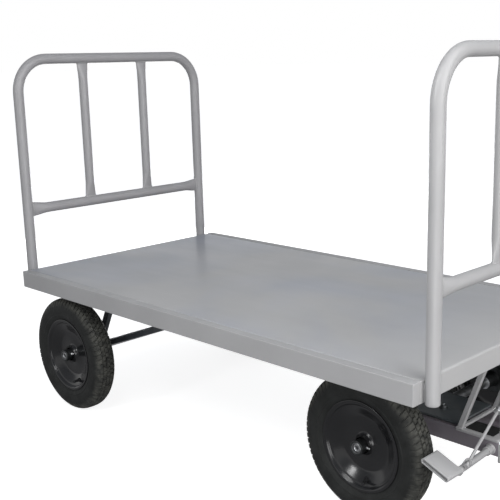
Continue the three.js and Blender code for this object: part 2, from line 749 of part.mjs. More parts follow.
// A flat plate square to the shaft, with a hole for the rod's lower end.
function brakeLug() {
  const shape = new THREE.Shape();
  shape.moveTo(LUG_FOOT, -LUG_FOOT_HALF_WIDTH);
  shape.lineTo(LUG_REACH, -LUG_RADIUS);
  shape.absarc(LUG_REACH, 0, LUG_RADIUS, -Math.PI / 2, Math.PI / 2, false);
  shape.lineTo(LUG_FOOT, LUG_FOOT_HALF_WIDTH);
  shape.holes.push(circleOutline(LUG_HOLE, LUG_REACH, 0));
  const options = { depth: LUG_THICK, bevelEnabled: false, curveSegments: 8 };
  const outward = alongPedal(0, LUG_ABOVE, LUG_BEHIND).sub(PEDAL_ROOT).normalize();
  const sideways = pedalAxis.clone().cross(outward);
  const basis = new THREE.Matrix4().makeBasis(outward, sideways, pedalAxis);
  const foot = alongPedal(LUG_AT - LUG_THICK / 2);
  return new THREE.ExtrudeGeometry(shape, options).applyMatrix4(basis).translate(foot.x, foot.y, foot.z);
}

// The shaft, with a lug above it that the rod's lower end goes through.
function brakeArm() {
  const shaftEnd = alongPedal(PEDAL_LENGTH - SHAFT_END_CLEARANCE);
  const shaft = bar(alongPedal(SHAFT_START), shaftEnd, PEDAL_TUBE / 2);
  return joined(shaft, brakeLug());
}

const SHOE_HALF_HEIGHT = 6.5;
const SHOE_WALL = 3;
const SHOE_LENGTH = 61;               // between the middles of its two round ends
const SHOE_TILT = THREE.MathUtils.degToRad(22.4);
const SHOE_FRONT = new THREE.Vector2(778, 180);
const SHOE_INNER_Y = -264.3;
const SHOE_OUTER_Y = -318.6;

function roundEnded(length, radius) {
  const shape = new THREE.Shape();
  shape.absarc(0, 0, radius, -Math.PI / 2, Math.PI / 2, false);
  shape.absarc(-length, 0, radius, Math.PI / 2, Math.PI * 1.5, false);
  return shape;
}

// The foot plate is a short length of flattened tube, open at both sides. Its rear edge is the shoe
// that bears on the tyre.
function brakeShoe() {
  const shape = roundEnded(SHOE_LENGTH, SHOE_HALF_HEIGHT);
  shape.holes.push(roundEnded(SHOE_LENGTH, SHOE_HALF_HEIGHT - SHOE_WALL));
  const loop = slabXZ(shape, SHOE_OUTER_Y, SHOE_INNER_Y, 6);
  return loop.rotateY(SHOE_TILT).translate(SHOE_FRONT.x, 0, SHOE_FRONT.y);
}

const ROD_EYE = new THREE.Vector3(754, -40, 271);   // where the rod passes its guide
const GUIDE_THICK = 6;
const GUIDE_FOOT = 9;                 // half widths of the guide at its foot and at its eye
const GUIDE_HEAD = 14;
const GUIDE_HOLE = 7.5;
const rodStart = alongPedal(LUG_AT, LUG_ABOVE, LUG_BEHIND);
const rodAxis = ROD_EYE.clone().sub(rodStart).normalize();
const ROD_LENGTH = ROD_EYE.distanceTo(rodStart);

function alongRod(distance) {
  return rodStart.clone().addScaledVector(rodAxis, distance);
}

const ROD_HEAD_RADIUS = 6;
const ROD_HEAD_DROP = 8;              // top of the head, below the lug
const ROD_HEAD_HEIGHT = 5;
const ROD_END = 22;                   // past the guide
const ROD_SIDES = 12;
const SPRING_TOP = 8;                 // below the guide
const SPRING_LENGTH = 30;
const SPRING_RADIUS = 8;
const COLLAR_BELOW = 4;               // the rod rises by less than this when the pedal is pressed
const COLLAR_LENGTH = 8;
const COLLAR_RADIUS = 9;

// The rod has a head below the lug and runs up through its collar, the spring and the guide.
function brakeRod() {
  const headTop = -ROD_HEAD_DROP;
  const head = bar(alongRod(headTop - ROD_HEAD_HEIGHT), alongRod(headTop), ROD_HEAD_RADIUS, 0, ROD_SIDES);
  const foot = alongRod(headTop - ROD_HEAD_HEIGHT / 2);
  const shank = bar(foot, alongRod(ROD_LENGTH + ROD_END), ROD_TUBE / 2, 0, ROD_SIDES);
  return joined(head, shank);
}

// A plate that stands on the subframe and widens to a round eye for the rod.
function brakeRodGuide() {
  const { x, y, z } = ROD_EYE;
  const shape = new THREE.Shape();
  shape.moveTo(x - GUIDE_FOOT, BEAM_TOP + GAP);
  shape.lineTo(x + GUIDE_FOOT, BEAM_TOP + GAP);
  shape.lineTo(x + GUIDE_HEAD, z);
  shape.absarc(x, z, GUIDE_HEAD, 0, Math.PI, false);
  shape.holes.push(circleOutline(GUIDE_HOLE, x, z));
  return slabXZ(shape, y - GUIDE_THICK / 2, y + GUIDE_THICK / 2);
}

function brakeSpring() {
  const end = ROD_LENGTH - SPRING_TOP;
  return bar(alongRod(end - SPRING_LENGTH), alongRod(end), SPRING_RADIUS, ROD_TUBE / 2 + 1.5, ROD_SIDES);
}

// The collar on the rod that the spring pushes against.
function brakeRodCollar() {
  const end = ROD_LENGTH - SPRING_TOP - SPRING_LENGTH - COLLAR_BELOW;
  return bar(alongRod(end - COLLAR_LENGTH), alongRod(end), COLLAR_RADIUS, ROD_TUBE / 2 + GAP, ROD_SIDES);
}

add('brake_boss', brakeBoss(), GREY_PAINT);
add('brake_arm', brakeArm(), GREY_PAINT);
add('brake_shoe', brakeShoe(), GREY_PAINT);
add('brake_rod', brakeRod(), GREY_PAINT);
add('brake_rod_guide', brakeRodGuide(), GREY_PAINT);
add('brake_spring', brakeSpring(), BRIGHT_STEEL);
add('brake_rod_collar', brakeRodCollar(), BRIGHT_STEEL);

// ---------------------------------------------------------------- wheels

// Profiles are [radius, distance across], with the outer side of the wheel at negative values.
const TYRE_OUTSIDE = [
  [103, -26.8], [111.2, -27], [119, -33], [140, -35], [156, -32.5], [167, -25.5], [TYRE_RADIUS, -10],
];
const TYRE_INSIDE = [[104, -16], [132, -27], [158, -19]];
const RIM_SIDES = 20;
const FLAT_TO_CORNER = 1 / Math.cos(Math.PI / TYRE_SIDES);

function mirrored(points) {
  return points.map(([r, y]) => [r, -y]).reverse();
}

function tyre() {
  const outside = [...TYRE_OUTSIDE, ...mirrored(TYRE_OUTSIDE)];
  const inside = [...TYRE_INSIDE, ...mirrored(TYRE_INSIDE)].reverse();
  const profile = [...outside, ...inside].map(([r, y]) => [r * FLAT_TO_CORNER, y]);
  return turned(profile, TYRE_SIDES);
}

function rim() {
  const lip = RIM_LIP_RADIUS;
  const profile = [
    [lip, -30.2], [lip, -27.2], [102, -27.2], [102, -16], [90, -10],
    [90, 10], [102, 16], [102, 27.2], [lip, 27.2], [lip, 30.2],
    [99, 30.2], [98, 17.5], [87, 11.5], [87, -6.5], [20, -6.5], [20, -10.5], [68, -10.5], [97, -20],
    [99, -30.2],
  ];
  return turned(profile, RIM_SIDES);
}

function hub() {
  const end = HUB_HALF_LENGTH;
  const bore = AXLE_RADIUS + GAP;
  const profile = [
    [bore, -end], [19, -end], [19, -6.2], [38, -6.2], [38, -1.2], [19, -1.2], [19, end], [bore, end],
  ];
  return turned(profile, 16);
}

const WHEELS = [
  { name: 'rear', x: REAR_WHEEL_X, y: REAR_WHEEL_Y },
  { name: 'front', x: FRONT_WHEEL_X, y: FRONT_WHEEL_Y },
];

for (const pair of WHEELS) {
  for (const side of SIDES) {
    const wheel = new THREE.Group();
    wheel.position.set(pair.x, side.sign * pair.y, AXLE_Z);
    wheel.rotation.z = side.sign > 0 ? Math.PI : 0;
    trolley.add(wheel);
    const name = `${pair.name}_${side.name}`;
    add(`${name}_tyre`, tyre(), TYRE_RUBBER, wheel);
    add(`${name}_rim`, rim(), BLACK_ENAMEL, wheel);
    add(`${name}_hub`, hub(), ZINC, wheel);
  }
}

// ---------------------------------------------------------------- origin

const REAR_END = -HOOP_X - HOOP_TUBE / 2;
const FRONT_END = alongDrawbar(DRAWBAR_LENGTH).x + GRIP_TUBE / 2;
trolley.position.x = -(REAR_END + FRONT_END) / 2;

export default trolley;
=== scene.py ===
"""The looks of the platform trolley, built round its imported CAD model. Metres, in the model's own frame."""

import json
import math
import random

import bmesh
import bpy
import numpy as np
from mathutils import Matrix, Vector


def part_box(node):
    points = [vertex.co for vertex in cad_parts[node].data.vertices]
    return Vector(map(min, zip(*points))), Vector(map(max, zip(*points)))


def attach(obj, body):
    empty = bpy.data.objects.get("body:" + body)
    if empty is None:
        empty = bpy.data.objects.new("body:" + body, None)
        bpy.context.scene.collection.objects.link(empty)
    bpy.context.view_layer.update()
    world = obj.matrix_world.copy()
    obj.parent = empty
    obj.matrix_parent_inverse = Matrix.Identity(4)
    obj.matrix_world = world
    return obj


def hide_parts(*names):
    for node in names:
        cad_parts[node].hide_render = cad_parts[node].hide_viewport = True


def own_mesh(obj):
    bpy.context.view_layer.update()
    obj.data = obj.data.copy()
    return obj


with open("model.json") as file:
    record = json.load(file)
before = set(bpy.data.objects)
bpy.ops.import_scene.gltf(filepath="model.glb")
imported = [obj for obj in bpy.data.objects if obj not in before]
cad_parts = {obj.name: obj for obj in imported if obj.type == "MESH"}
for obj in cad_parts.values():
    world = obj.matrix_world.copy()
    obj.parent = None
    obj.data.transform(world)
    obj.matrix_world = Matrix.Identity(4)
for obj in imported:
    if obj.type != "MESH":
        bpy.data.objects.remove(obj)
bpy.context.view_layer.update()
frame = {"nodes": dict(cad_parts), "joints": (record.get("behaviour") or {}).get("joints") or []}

JOINTS = {joint["name"]: joint for joint in frame["joints"]}
MM = 0.001
rng = random.Random(11)


# ---------------------------------------------------------------- shapes: points and faces

class Shape:
    """Points and faces of one or more closed surfaces."""

    def __init__(self, points, faces):
        self.points = np.asarray(points, float).reshape(-1, 3)
        self.faces = faces

    def moved(self, matrix):
        flat = np.c_[self.points, np.ones(len(self.points))] @ np.array(matrix).T
        return Shape(flat[:, :3], self.faces)

    def shifted(self, x, y, z):
        return Shape(self.points + np.array([x, y, z]), self.faces)


def combined(shapes):
    points, faces, base = [], [], 0
    for shape in shapes:
        points.append(shape.points)
        faces += [tuple(i + base for i in face) for face in shape.faces]
        base += len(shape.points)
    return Shape(np.concatenate(points), faces)


def grid_faces(rows, columns, wrap_rows=False, wrap_columns=True):
    """Quads between the rows of a grid of points, with each row's points one after another."""
    faces = []
    for i in range(rows if wrap_rows else rows - 1):
        next_row = (i + 1) % rows
        for j in range(columns if wrap_columns else columns - 1):
            next_column = (j + 1) % columns
            faces.append((
                i * columns + j, i * columns + next_column,
                next_row * columns + next_column, next_row * columns + j,
            ))
    return faces


def turning(start, end):
    """The matrix that takes the origin and +Z to a start point and the direction to an end point."""
    direction = (Vector(end) - Vector(start)).normalized()
    return Matrix.Translation(start) @ direction.to_track_quat("Z", "Y").to_matrix().to_4x4()


def lathe(profile, sides=48):
    """A profile of (radius, height) pairs turned round Z. A radius of 0 closes an end."""
    angles = np.arange(sides) * 2 * math.pi / sides
    rings = []
    for radius, height in profile:
        radius = max(radius, 1e-6)
        rings.append(np.c_[radius * np.cos(angles), radius * np.sin(angles), np.full(sides, height)])
    closed = profile[0][0] > 0 and profile[-1][0] > 0
    faces = grid_faces(len(profile), sides, wrap_rows=closed)
    return Shape(np.concatenate(rings), faces)


def rod(start, end, radius, edge=0.0008, sides=32):
    """A solid round bar between two points, with chamfered ends."""
    length = (Vector(end) - Vector(start)).length
    profile = [
        (0, 0), (radius - edge, 0), (radius, edge),
        (radius, length - edge), (radius - edge, length), (0, length),
    ]
    return lathe(profile, sides).moved(turning(start, end))


def sleeve(start, end, radius, bore, edge=0.0008, sides=32):
    """A round tube between two points, with chamfered outer edges."""
    length = (Vector(end) - Vector(start)).length
    profile = [
        (bore, 0), (radius - edge, 0), (radius, edge),
        (radius, length - edge), (radius - edge, length), (bore, length),
    ]
    return lathe(profile, sides).moved(turning(start, end))


def circle(radius, sides):
    angles = np.arange(sides) * 2 * math.pi / sides
    return np.c_[radius * np.cos(angles), radius * np.sin(angles)]


def sweep(path, section, scales=None, up=(0, 0, 1), ring=False):
    """An outline carried along a path. scales widens it across (first) and along `up` (second)."""
    path = np.asarray(path, float)
    count = len(path)
    if ring:
        tangents = np.roll(path, -1, 0) - np.roll(path, 1, 0)
    else:
        tangents = np.gradient(path, axis=0)
    tangents /= np.linalg.norm(tangents, axis=1)[:, None]
    normal = np.array(up, float)
    points = []
    for i in range(count):
        normal = normal - tangents[i] * (normal @ tangents[i])
        normal /= np.linalg.norm(normal)
        across = np.cross(tangents[i], normal)
        wide, high = scales[i] if scales is not None else (1, 1)
        points.append(path[i] + section[:, :1] * wide * across + section[:, 1:] * high * normal)
    sides = len(section)
    faces = grid_faces(count, sides, wrap_rows=ring)
    if not ring:
        faces.append(tuple(range(sides)))
        faces.append(tuple(range((count - 1) * sides, count * sides)))
    return Shape(np.concatenate(points), faces)


def hexagon(radius, height, edge=0.001):
    """A hexagonal bolt head or nut standing on the origin along Z, with a turned chamfer on top."""
    outline = [(radius * math.cos(a), radius * math.sin(a)) for a in np.arange(6) * math.pi / 3]
    shrink = 1 - edge / radius * 1.6
    points = [(x, y, 0) for x, y in outline]
    points += [(x, y, height - edge) for x, y in outline]
    points += [(x * shrink, y * shrink, height) for x, y in outline]
    faces = grid_faces(3, 6) + [tuple(range(6)), tuple(range(12, 18))]
    return Shape(points, faces)


def bolt(radius):
    """A bolt head on its washer, standing on the origin along Z, with the shank's end showing."""
    height = radius * 0.8
    washer_height = 0.0016
    washer = lathe([
        (0, 0), (radius * 1.35, 0), (radius * 1.35, 0.0012),
        (radius * 1.28, washer_height), (0, washer_height),
    ], 28)
    head = hexagon(radius, height).shifted(0, 0, washer_height)
    stub = lathe([
        (0, height), (radius * 0.5, height), (radius * 0.5, height + 0.0035),
        (radius * 0.42, height + 0.0045), (0, height + 0.0045),
    ], 20)
    return combined([washer, head, stub.shifted(0, 0, 0.001)])


# ---------------------------------------------------------------- shapes into pieces

FLAT = math.radians(0.6)              # faces that meet at less than this are joined into one
CORNER = math.radians(30)             # edges that turn by more than this are rounded


def rounded(mesh, width):
    """Rounds the mesh's corners."""
    bm = bmesh.new()
    bm.from_mesh(mesh)
    bmesh.ops.remove_doubles(bm, verts=bm.verts, dist=2e-5)
    bmesh.ops.dissolve_limit(bm, angle_limit=FLAT, verts=bm.verts, edges=bm.edges)
    edges = [e for e in bm.edges if e.is_manifold and e.calc_face_angle(0) > CORNER]
    bmesh.ops.bevel(
        bm, geom=edges, offset=width, offset_type="OFFSET", segments=2,
        profile=0.5, affect="EDGES", clamp_overlap=True,
    )
    bmesh.ops.triangulate(bm, faces=[f for f in bm.faces if len(f.verts) > 4])
    bm.to_mesh(mesh)
    bm.free()


def shade(mesh, sharp):
    """Makes the mesh smooth, apart from edges that turn by more than `sharp` degrees."""
    bm = bmesh.new()
    bm.from_mesh(mesh)
    bmesh.ops.remove_doubles(bm, verts=bm.verts, dist=2e-6)
    bmesh.ops.dissolve_degenerate(bm, dist=1e-7, edges=bm.edges)
    bmesh.ops.recalc_face_normals(bm, faces=bm.faces)
    bm.to_mesh(mesh)
    bm.free()
    mesh.polygons.foreach_set("use_smooth", [True] * len(mesh.polygons))
    mesh.set_sharp_from_angle(angle=math.radians(sharp))


def place(name, mesh, material, body, nodes=(), sharp=38, at=None, turn=None):
    """Makes a piece of a mesh. Its finish is the material's own slot of the record."""
    shade(mesh, sharp)
    mesh.materials.clear()
    mesh.materials.append(material)
    piece = bpy.data.objects.new(name, mesh)
    bpy.context.scene.collection.objects.link(piece)
    if at is not None:
        piece.location = at
    if turn is not None:
        piece.rotation_euler = turn
    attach(piece, body)
    if nodes:
        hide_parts(*nodes)
    return piece


def make(name, shape, material, body, nodes=(), bevel=0, sharp=38, at=None, turn=None):
    """Makes a piece of a shape, with its corners rounded by `bevel` if given."""
    mesh = bpy.data.meshes.new(name)
    mesh.from_pydata(shape.points.tolist(), [], shape.faces)
    if bevel:
        rounded(mesh, bevel)
    return place(name, mesh, material, body, nodes, sharp, at, turn)


def edged(node, material, body, width):
    """A copy of a plate or flat bar with its corners rounded, in place of the plain one."""
    mesh = frame["nodes"][node].data.copy()
    rounded(mesh, width)
    return place(f"{node}_edged", mesh, material, body, (node,), sharp=20)


# ---------------------------------------------------------------- materials

def set_stops(ramp, stops):
    """Gives a colour ramp its colours or greys, at places from 0 to 1."""
    elements = ramp.elements
    while len(elements) < len(stops):
        elements.new(0.5)
    for element, (position, value) in zip(elements, stops):
        element.position = position
        element.color = (value, value, value, 1) if isinstance(value, float) else (*value, 1)


class Nodes:
    """A material's node tree, with short calls for the nodes used here."""

    def __init__(self, name, slot, color, rough, metallic=0.0, **inputs):
        self.material = bpy.data.materials.new(name)
        self.material.use_nodes = True
        self.material["slot"] = slot
        self.tree = self.material.node_tree
        self.shader = self.tree.nodes["Principled BSDF"]
        self.shader.inputs["Base Color"].default_value = (*color, 1)
        self.shader.inputs["Roughness"].default_value = rough
        self.shader.inputs["Metallic"].default_value = metallic
        for socket, value in inputs.items():
            self.shader.inputs[socket.replace("_", " ")].default_value = value
        self.where = self.tree.nodes.new("ShaderNodeTexCoord").outputs["Object"]

    def link(self, source, target):
        self.tree.links.new(source, target)

    def noise(self, scale, detail=3.0, stretch=(1, 1, 1), distortion=0.0):
        mapping = self.tree.nodes.new("ShaderNodeMapping")
        mapping.inputs["Scale"].default_value = stretch
        self.link(self.where, mapping.inputs["Vector"])
        node = self.tree.nodes.new("ShaderNodeTexNoise")
        node.inputs["Scale"].default_value = scale
        node.inputs["Detail"].default_value = detail
        node.inputs["Distortion"].default_value = distortion
        self.link(mapping.outputs["Vector"], node.inputs["Vector"])
        return node.outputs["Fac"]

    def ramp(self, source, stops):
        """Colours or greys at places from 0 to 1 of the source."""
        node = self.tree.nodes.new("ShaderNodeValToRGB")
        set_stops(node.color_ramp, stops)
        self.link(source, node.inputs["Fac"])
        return node.outputs["Color"]

    def math(self, operation, a, b):
        node = self.tree.nodes.new("ShaderNodeMath")
        node.operation = operation
        for socket, value in zip(node.inputs, (a, b)):
            if isinstance(value, (int, float)):
                socket.default_value = value
            else:
                self.link(value, socket)
        return node.outputs[0]

    def mixed(self, factor, a, b):
        """Colour a where the factor is 0 and b where it is 1."""
        node = self.tree.nodes.new("ShaderNodeMix")
        node.data_type = "RGBA"
        self.link(factor, node.inputs["Factor"])
        for socket, value in ((node.inputs["A"], a), (node.inputs["B"], b)):
            if isinstance(value, tuple):
                socket.default_value = (*value, 1)
            else:
                self.link(value, socket)
        return node.outputs["Result"]

    def multiplied(self, a, b):
        node = self.tree.nodes.new("ShaderNodeMix")
        node.data_type = "RGBA"
        node.blend_type = "MULTIPLY"
        node.inputs["Factor"].default_value = 1.0
        self.link(a, node.inputs["A"])
        self.link(b, node.inputs["B"])
        return node.outputs["Result"]

    def bump(self, height, strength, distance):
        node = self.tree.nodes.new("ShaderNodeBump")
        node.inputs["Strength"].default_value = strength
        node.inputs["Distance"].default_value = distance
        self.link(height, node.inputs["Height"])
        previous = self.shader.inputs["Normal"]
        if previous.is_linked:
            self.link(previous.links[0].from_socket, node.inputs["Normal"])
        self.link(node.outputs["Normal"], self.shader.inputs["Normal"])

    def set(self, socket, source):
        self.link(source, self.shader.inputs[socket])


def tint(color, factor):
    return tuple(min(1.0, c * factor) for c in color)


DUST = (0.20, 0.195, 0.185)
ROAD_DUST = (0.125, 0.124, 0.108)
PEEL_SCALE = 420.0                    # the fine bumps of sprayed paint, about 2 mm apart


def paint(name, slot, color, rough, drift=0.05, peel=0.05, dust=0.0, coat=0.0, gloss_drift=0.07, level=0.5):
    """Sprayed enamel: cloudy colour drift, orange peel, uneven gloss, and optional dust."""
    m = Nodes(name, slot, color, rough, Coat_Weight=coat, Coat_Roughness=0.18, Specular_IOR_Level=level)
    cloud = m.noise(5.0, 4.0)
    base = m.ramp(cloud, [(0.3, tint(color, 1 - drift)), (0.7, tint(color, 1 + drift))])
    if dust:
        settled = m.ramp(m.noise(28.0, 6.0), [(0.42, 0.0), (0.75, dust)])
        base = m.mixed(settled, base, DUST)
    m.set("Base Color", base)
    m.set("Roughness", m.ramp(m.noise(38.0, 5.0), [(0.3, rough - gloss_drift), (0.75, rough + gloss_drift)]))
    m.bump(m.noise(PEEL_SCALE, 2.0), peel, 0.0004)
    m.bump(m.noise(9.0, 2.0), peel, 0.004)
    return m.material


def deck_paint(name, slot, color, painted_sky_shade, rough):
    """The loading face: clouds of painted shade and painted sky reflection, darker and bluer, that fade out
    near the front; soft dents, and rubbed lines along it.
    """
    m = Nodes(name, slot, color, rough, Coat_Weight=0.04, Coat_Roughness=0.22, Specular_IOR_Level=0.3)
    cloud = m.ramp(m.noise(1.7, 3.0, distortion=0.6), [(0.38, 0.0), (0.62, 1.0)])
    split = m.tree.nodes.new("ShaderNodeSeparateXYZ")
    m.link(m.where, split.inputs[0])
    rear = m.tree.nodes.new("ShaderNodeMapRange")
    rear.inputs["From Min"].default_value = 0.30
    rear.inputs["From Max"].default_value = -0.10
    m.link(split.outputs["X"], rear.inputs["Value"])
    # Painted shade and painted sky reflection: the darker, bluer second colour clouds in more towards the
    # rear.
    base = m.mixed(m.math("MULTIPLY", cloud, rear.outputs["Result"]), color, painted_sky_shade)
    shade = m.ramp(m.noise(3.1, 4.0), [(0.3, (0.93, 0.93, 0.93)), (0.7, (1.05, 1.05, 1.05))])
    m.set("Base Color", m.multiplied(base, shade))
    worn = m.math("MULTIPLY", m.noise(4.0, 2.0), 0.24)
    rubbed = m.math("MULTIPLY", m.noise(11.0, 1.0, stretch=(0.4, 2.5, 1.0), distortion=0.4), 0.08)
    m.set("Roughness", m.math("ADD", m.math("ADD", worn, rubbed), rough - 0.14))
    m.bump(m.noise(PEEL_SCALE, 2.0), 0.05, 0.0004)
    m.bump(m.noise(2.6, 1.0), 0.25, 0.012)
    return m.material


def steel(name, slot, color, rough, stretch):
    """Turned or drawn bright steel with fine lines, stains and a little dullness."""
    m = Nodes(name, slot, color, rough, 1.0)
    stain = m.noise(70.0, 5.0)
    m.set("Base Color", m.ramp(stain, [(0.3, tint(color, 0.72)), (0.7, tint(color, 1.08))]))
    m.set("Roughness", m.ramp(m.noise(240.0, 3.0), [(0.3, rough - 0.07), (0.7, rough + 0.12)]))
    m.bump(m.noise(300.0, 2.0, stretch=stretch), 0.08, 0.0003)
    return m.material


def rubber(name, slot, color, rough, dusty_from=None):
    """Matt rubber. On a tyre, dust lies on everything further than dusty_from from the axle."""
    m = Nodes(name, slot, color, rough, Specular_IOR_Level=0.14)
    base = m.ramp(m.noise(26.0, 5.0), [(0.3, tint(color, 0.75)), (0.72, tint(color, 1.35))])
    if dusty_from:
        split = m.tree.nodes.new("ShaderNodeSeparateXYZ")
        m.link(m.where, split.inputs[0])
        x_squared = m.math("POWER", split.outputs["X"], 2.0)
        z_squared = m.math("POWER", split.outputs["Z"], 2.0)
        squares = m.math("ADD", x_squared, z_squared)
        outside = m.tree.nodes.new("ShaderNodeMapRange")
        outside.inputs["From Min"].default_value = dusty_from ** 2
        outside.inputs["From Max"].default_value = (dusty_from + 0.012) ** 2
        outside.inputs["To Max"].default_value = 0.4
        m.link(squares, outside.inputs["Value"])
        patches = m.ramp(m.noise(55.0, 6.0), [(0.35, 0.15), (0.7, 1.0)])
        base = m.mixed(m.math("MULTIPLY", outside.outputs["Result"], patches), base, ROAD_DUST)
    m.set("Base Color", base)
    m.set("Roughness", m.ramp(m.noise(90.0, 4.0), [(0.3, rough - 0.1), (0.75, rough + 0.08)]))
    m.bump(m.noise(900.0, 3.0), 0.22, 0.0003)
    return m.material


GREY = paint("light_grey_enamel", "grey_paint", (0.275, 0.275, 0.279), 0.40, coat=0.04, level=0.38)
# A darker copy of the light grey enamel for the rear headboard: painted shade for the end further from the
# lamps.
REAR_GREY_SHADED = paint("older_grey_enamel", "grey_paint", (0.238, 0.236, 0.244), 0.42, coat=0.04, level=0.38)
# The second colour, darker and bluer, is painted shade and painted sky reflection towards the rear of the
# deck.
DECK_GREY = deck_paint("deck_grey_enamel", "grey_paint", (0.314, 0.314, 0.316), (0.264, 0.280, 0.320), 0.33)
# Very dark blue-grey with a little dust, for the cross members, turntable discs and bogie plate under the
# deck: the darkness is painted shade.
SHADED = paint("under_deck_grey", "shaded_paint", (0.045, 0.053, 0.058), 0.38, drift=0.22, dust=0.16)
DARK = paint("brown_grey_primer", "dark_primer", (0.122, 0.111, 0.126), 0.5, drift=0.1, dust=0.1)
LEG_DARK = paint("blue_grey_primer", "dark_primer", (0.030, 0.034, 0.040), 0.45, drift=0.1, dust=0.08)
BLACK = paint(
    "black_enamel", "black_enamel", (0.0100, 0.0102, 0.0110), 0.18,
    drift=0.2, peel=0.03, gloss_drift=0.03, level=0.4,
)
TYRE = rubber("tyre_rubber", "tyre_rubber", (0.0150, 0.0158, 0.0154), 0.62, dusty_from=0.152)
GRIP = rubber("grip_rubber", "grip_rubber", (0.012, 0.012, 0.013), 0.6)
# Dull zinc for the hubs, darkened well below zinc's own grey: painted shade from the rim's dish.
ZINC = steel("dull_zinc", "zinc", (0.060, 0.064, 0.065), 0.46, (1, 8, 1))
BUSH = steel("worn_steel", "bright_steel", (0.22, 0.225, 0.23), 0.38, (6, 1, 6))
BOLT = steel("dull_steel", "bright_steel", (0.15, 0.16, 0.165), 0.5, (4, 4, 1))
BRIGHT = steel("bright_steel", "bright_steel", (0.50, 0.51, 0.52), 0.34, (6, 1, 6))


# ---------------------------------------------------------------- sizes read from the CAD model

def centre(node):
    low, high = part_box(node)
    return (low + high) / 2


def half_size(node):
    low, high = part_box(node)
    return (high - low) / 2


deck_low, deck_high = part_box("deck_tray")
hoop_low, hoop_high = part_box("front_headboard_hoop")
HOOP_RADIUS = (hoop_high.x - hoop_low.x) / 2
HOOP_Y = hoop_high.y - HOOP_RADIUS
HOOP_TOP = hoop_high.z - HOOP_RADIUS
HOOP_FOOT = hoop_low.z
HOOP_BEND = 0.103
CROSSBAR_Z = centre("front_headboard_crossbar").z
AXLE_Z = centre("rear_axle").z


# ---------------------------------------------------------------- weld beads

BEADS = {}
BEAD_STEP = 0.0022
BEAD_UP = (0.31, 0.57, 0.76)          # a direction that no bead runs along


def bead(body, path, radius=0.0022, ring=True):
    """A rippled weld bead along a path, kept until its body's beads are made as one piece."""
    path = np.asarray(path, float)
    closed = np.vstack([path, path[:1]]) if ring else path
    steps = np.linalg.norm(np.diff(closed, axis=0), axis=1)
    along = np.concatenate([[0], np.cumsum(steps)])
    count = max(8, int(along[-1] / BEAD_STEP))
    samples = np.linspace(0, along[-1], count, endpoint=not ring)
    points = np.stack([np.interp(samples, along, closed[:, k]) for k in range(3)], 1)
    scales = []
    for i in range(count):
        swell = 1 + 0.16 * math.sin(i * 2.1) + rng.uniform(-0.1, 0.1)
        fade = 1.0 if ring else min(1.0, 0.35 + min(i, count - 1 - i) * 0.4)
        scales.append((swell * fade, swell * fade))
    BEADS.setdefault(body, []).append(sweep(points, circle(radius, 7), scales, BEAD_UP, ring))


def ring_path(middle, normal, radius_a, radius_b=None, up=(0, 0, 1), sides=28):
    """A circle or ellipse round a point, square to the normal; radius_b is along `up`."""
    normal = Vector(normal).normalized()
    high = (Vector(up) - normal * normal.dot(Vector(up))).normalized()
    across = normal.cross(high)
    radius_b = radius_b or radius_a
    return [
        Vector(middle) + across * (radius_a * math.cos(a)) + high * (radius_b * math.sin(a))
        for a in np.arange(sides) * 2 * math.pi / sides
    ]


def rectangle_path(low, high, z):
    """A level rectangle between two corners."""
    return [(low[0], low[1], z), (high[0], low[1], z), (high[0], high[1], z), (low[0], high[1], z)]


# ---------------------------------------------------------------- deck

edged("deck_tray", DECK_GREY, "chassis", 0.0007)
for side in ("right", "left"):
    edged(f"side_rail_{side}", GREY, "chassis", 0.0016)
for i in range(1, 6):
    edged(f"cross_member_{i}", SHADED, "chassis", 0.0012)


# ---------------------------------------------------------------- headboards

SQUASH_THIN = 0.44                    # of the tube's width, at a squashed end
SQUASH_WIDE = 1.4
SQUASH_RUN = 0.060                    # how far from its end a tube is squashed
SUNK = 0.0025                         # how far a welded tube runs into the one it meets
POST_SEAM = 0.0078                    # from a post's middle to the welds that hold it to the deck


def hoop_shape(x):
    """The bent tube of a headboard, from one foot over the top to the other, with crimped feet."""
    right = [(x, -HOOP_Y, HOOP_FOOT + rise) for rise in (0, 0.0006, 0.002, 0.0045)]
    right += [(x, -HOOP_Y, z) for z in np.linspace(HOOP_FOOT + 0.02, HOOP_TOP - HOOP_BEND - 0.01, 8)]
    for k in range(17):
        a = math.radians(90 * k / 16)
        y = -HOOP_Y + HOOP_BEND * (1 - math.cos(a))
        right.append((x, y, HOOP_TOP - HOOP_BEND + HOOP_BEND * math.sin(a)))
    right.append((x, -0.12, HOOP_TOP))
    left = [(px, -py, pz) for px, py, pz in reversed(right)]
    path = right + left
    foot = [(0.80, 0.80), (0.90, 0.90), (0.975, 0.975)]
    scales = foot + [(1, 1)] * (len(path) - 2 * len(foot)) + foot[::-1]
    return sweep(path, circle(HOOP_RADIUS, 40), scales, up=(1, 0, 0))


def squashed_bar(start, end, radius, up):
    """A tube whose ends are squashed: thin along X and wide along `up`."""
    start, end = Vector(start), Vector(end)
    length = (end - start).length
    path, scales = [], []
    stations = [0, 0.006, 0.014, 0.022, 0.030, 0.038, 0.046, 0.053, SQUASH_RUN]
    for s in stations + [length / 2] + [length - s for s in reversed(stations)]:
        share = max(0.0, 1 - min(s, length - s) / SQUASH_RUN)
        share = share * share * (3 - 2 * share)
        path.append(start.lerp(end, s / length))
        scales.append((1 + (SQUASH_THIN - 1) * share, 1 + (SQUASH_WIDE - 1) * share))
    return sweep(path, circle(radius, 40), scales, up=up)


BAR_RADIUS = half_size("front_headboard_bar_right").x
BAR_Y = centre("front_headboard_bar_left").y
POST_INSIDE = HOOP_Y - HOOP_RADIUS + SUNK

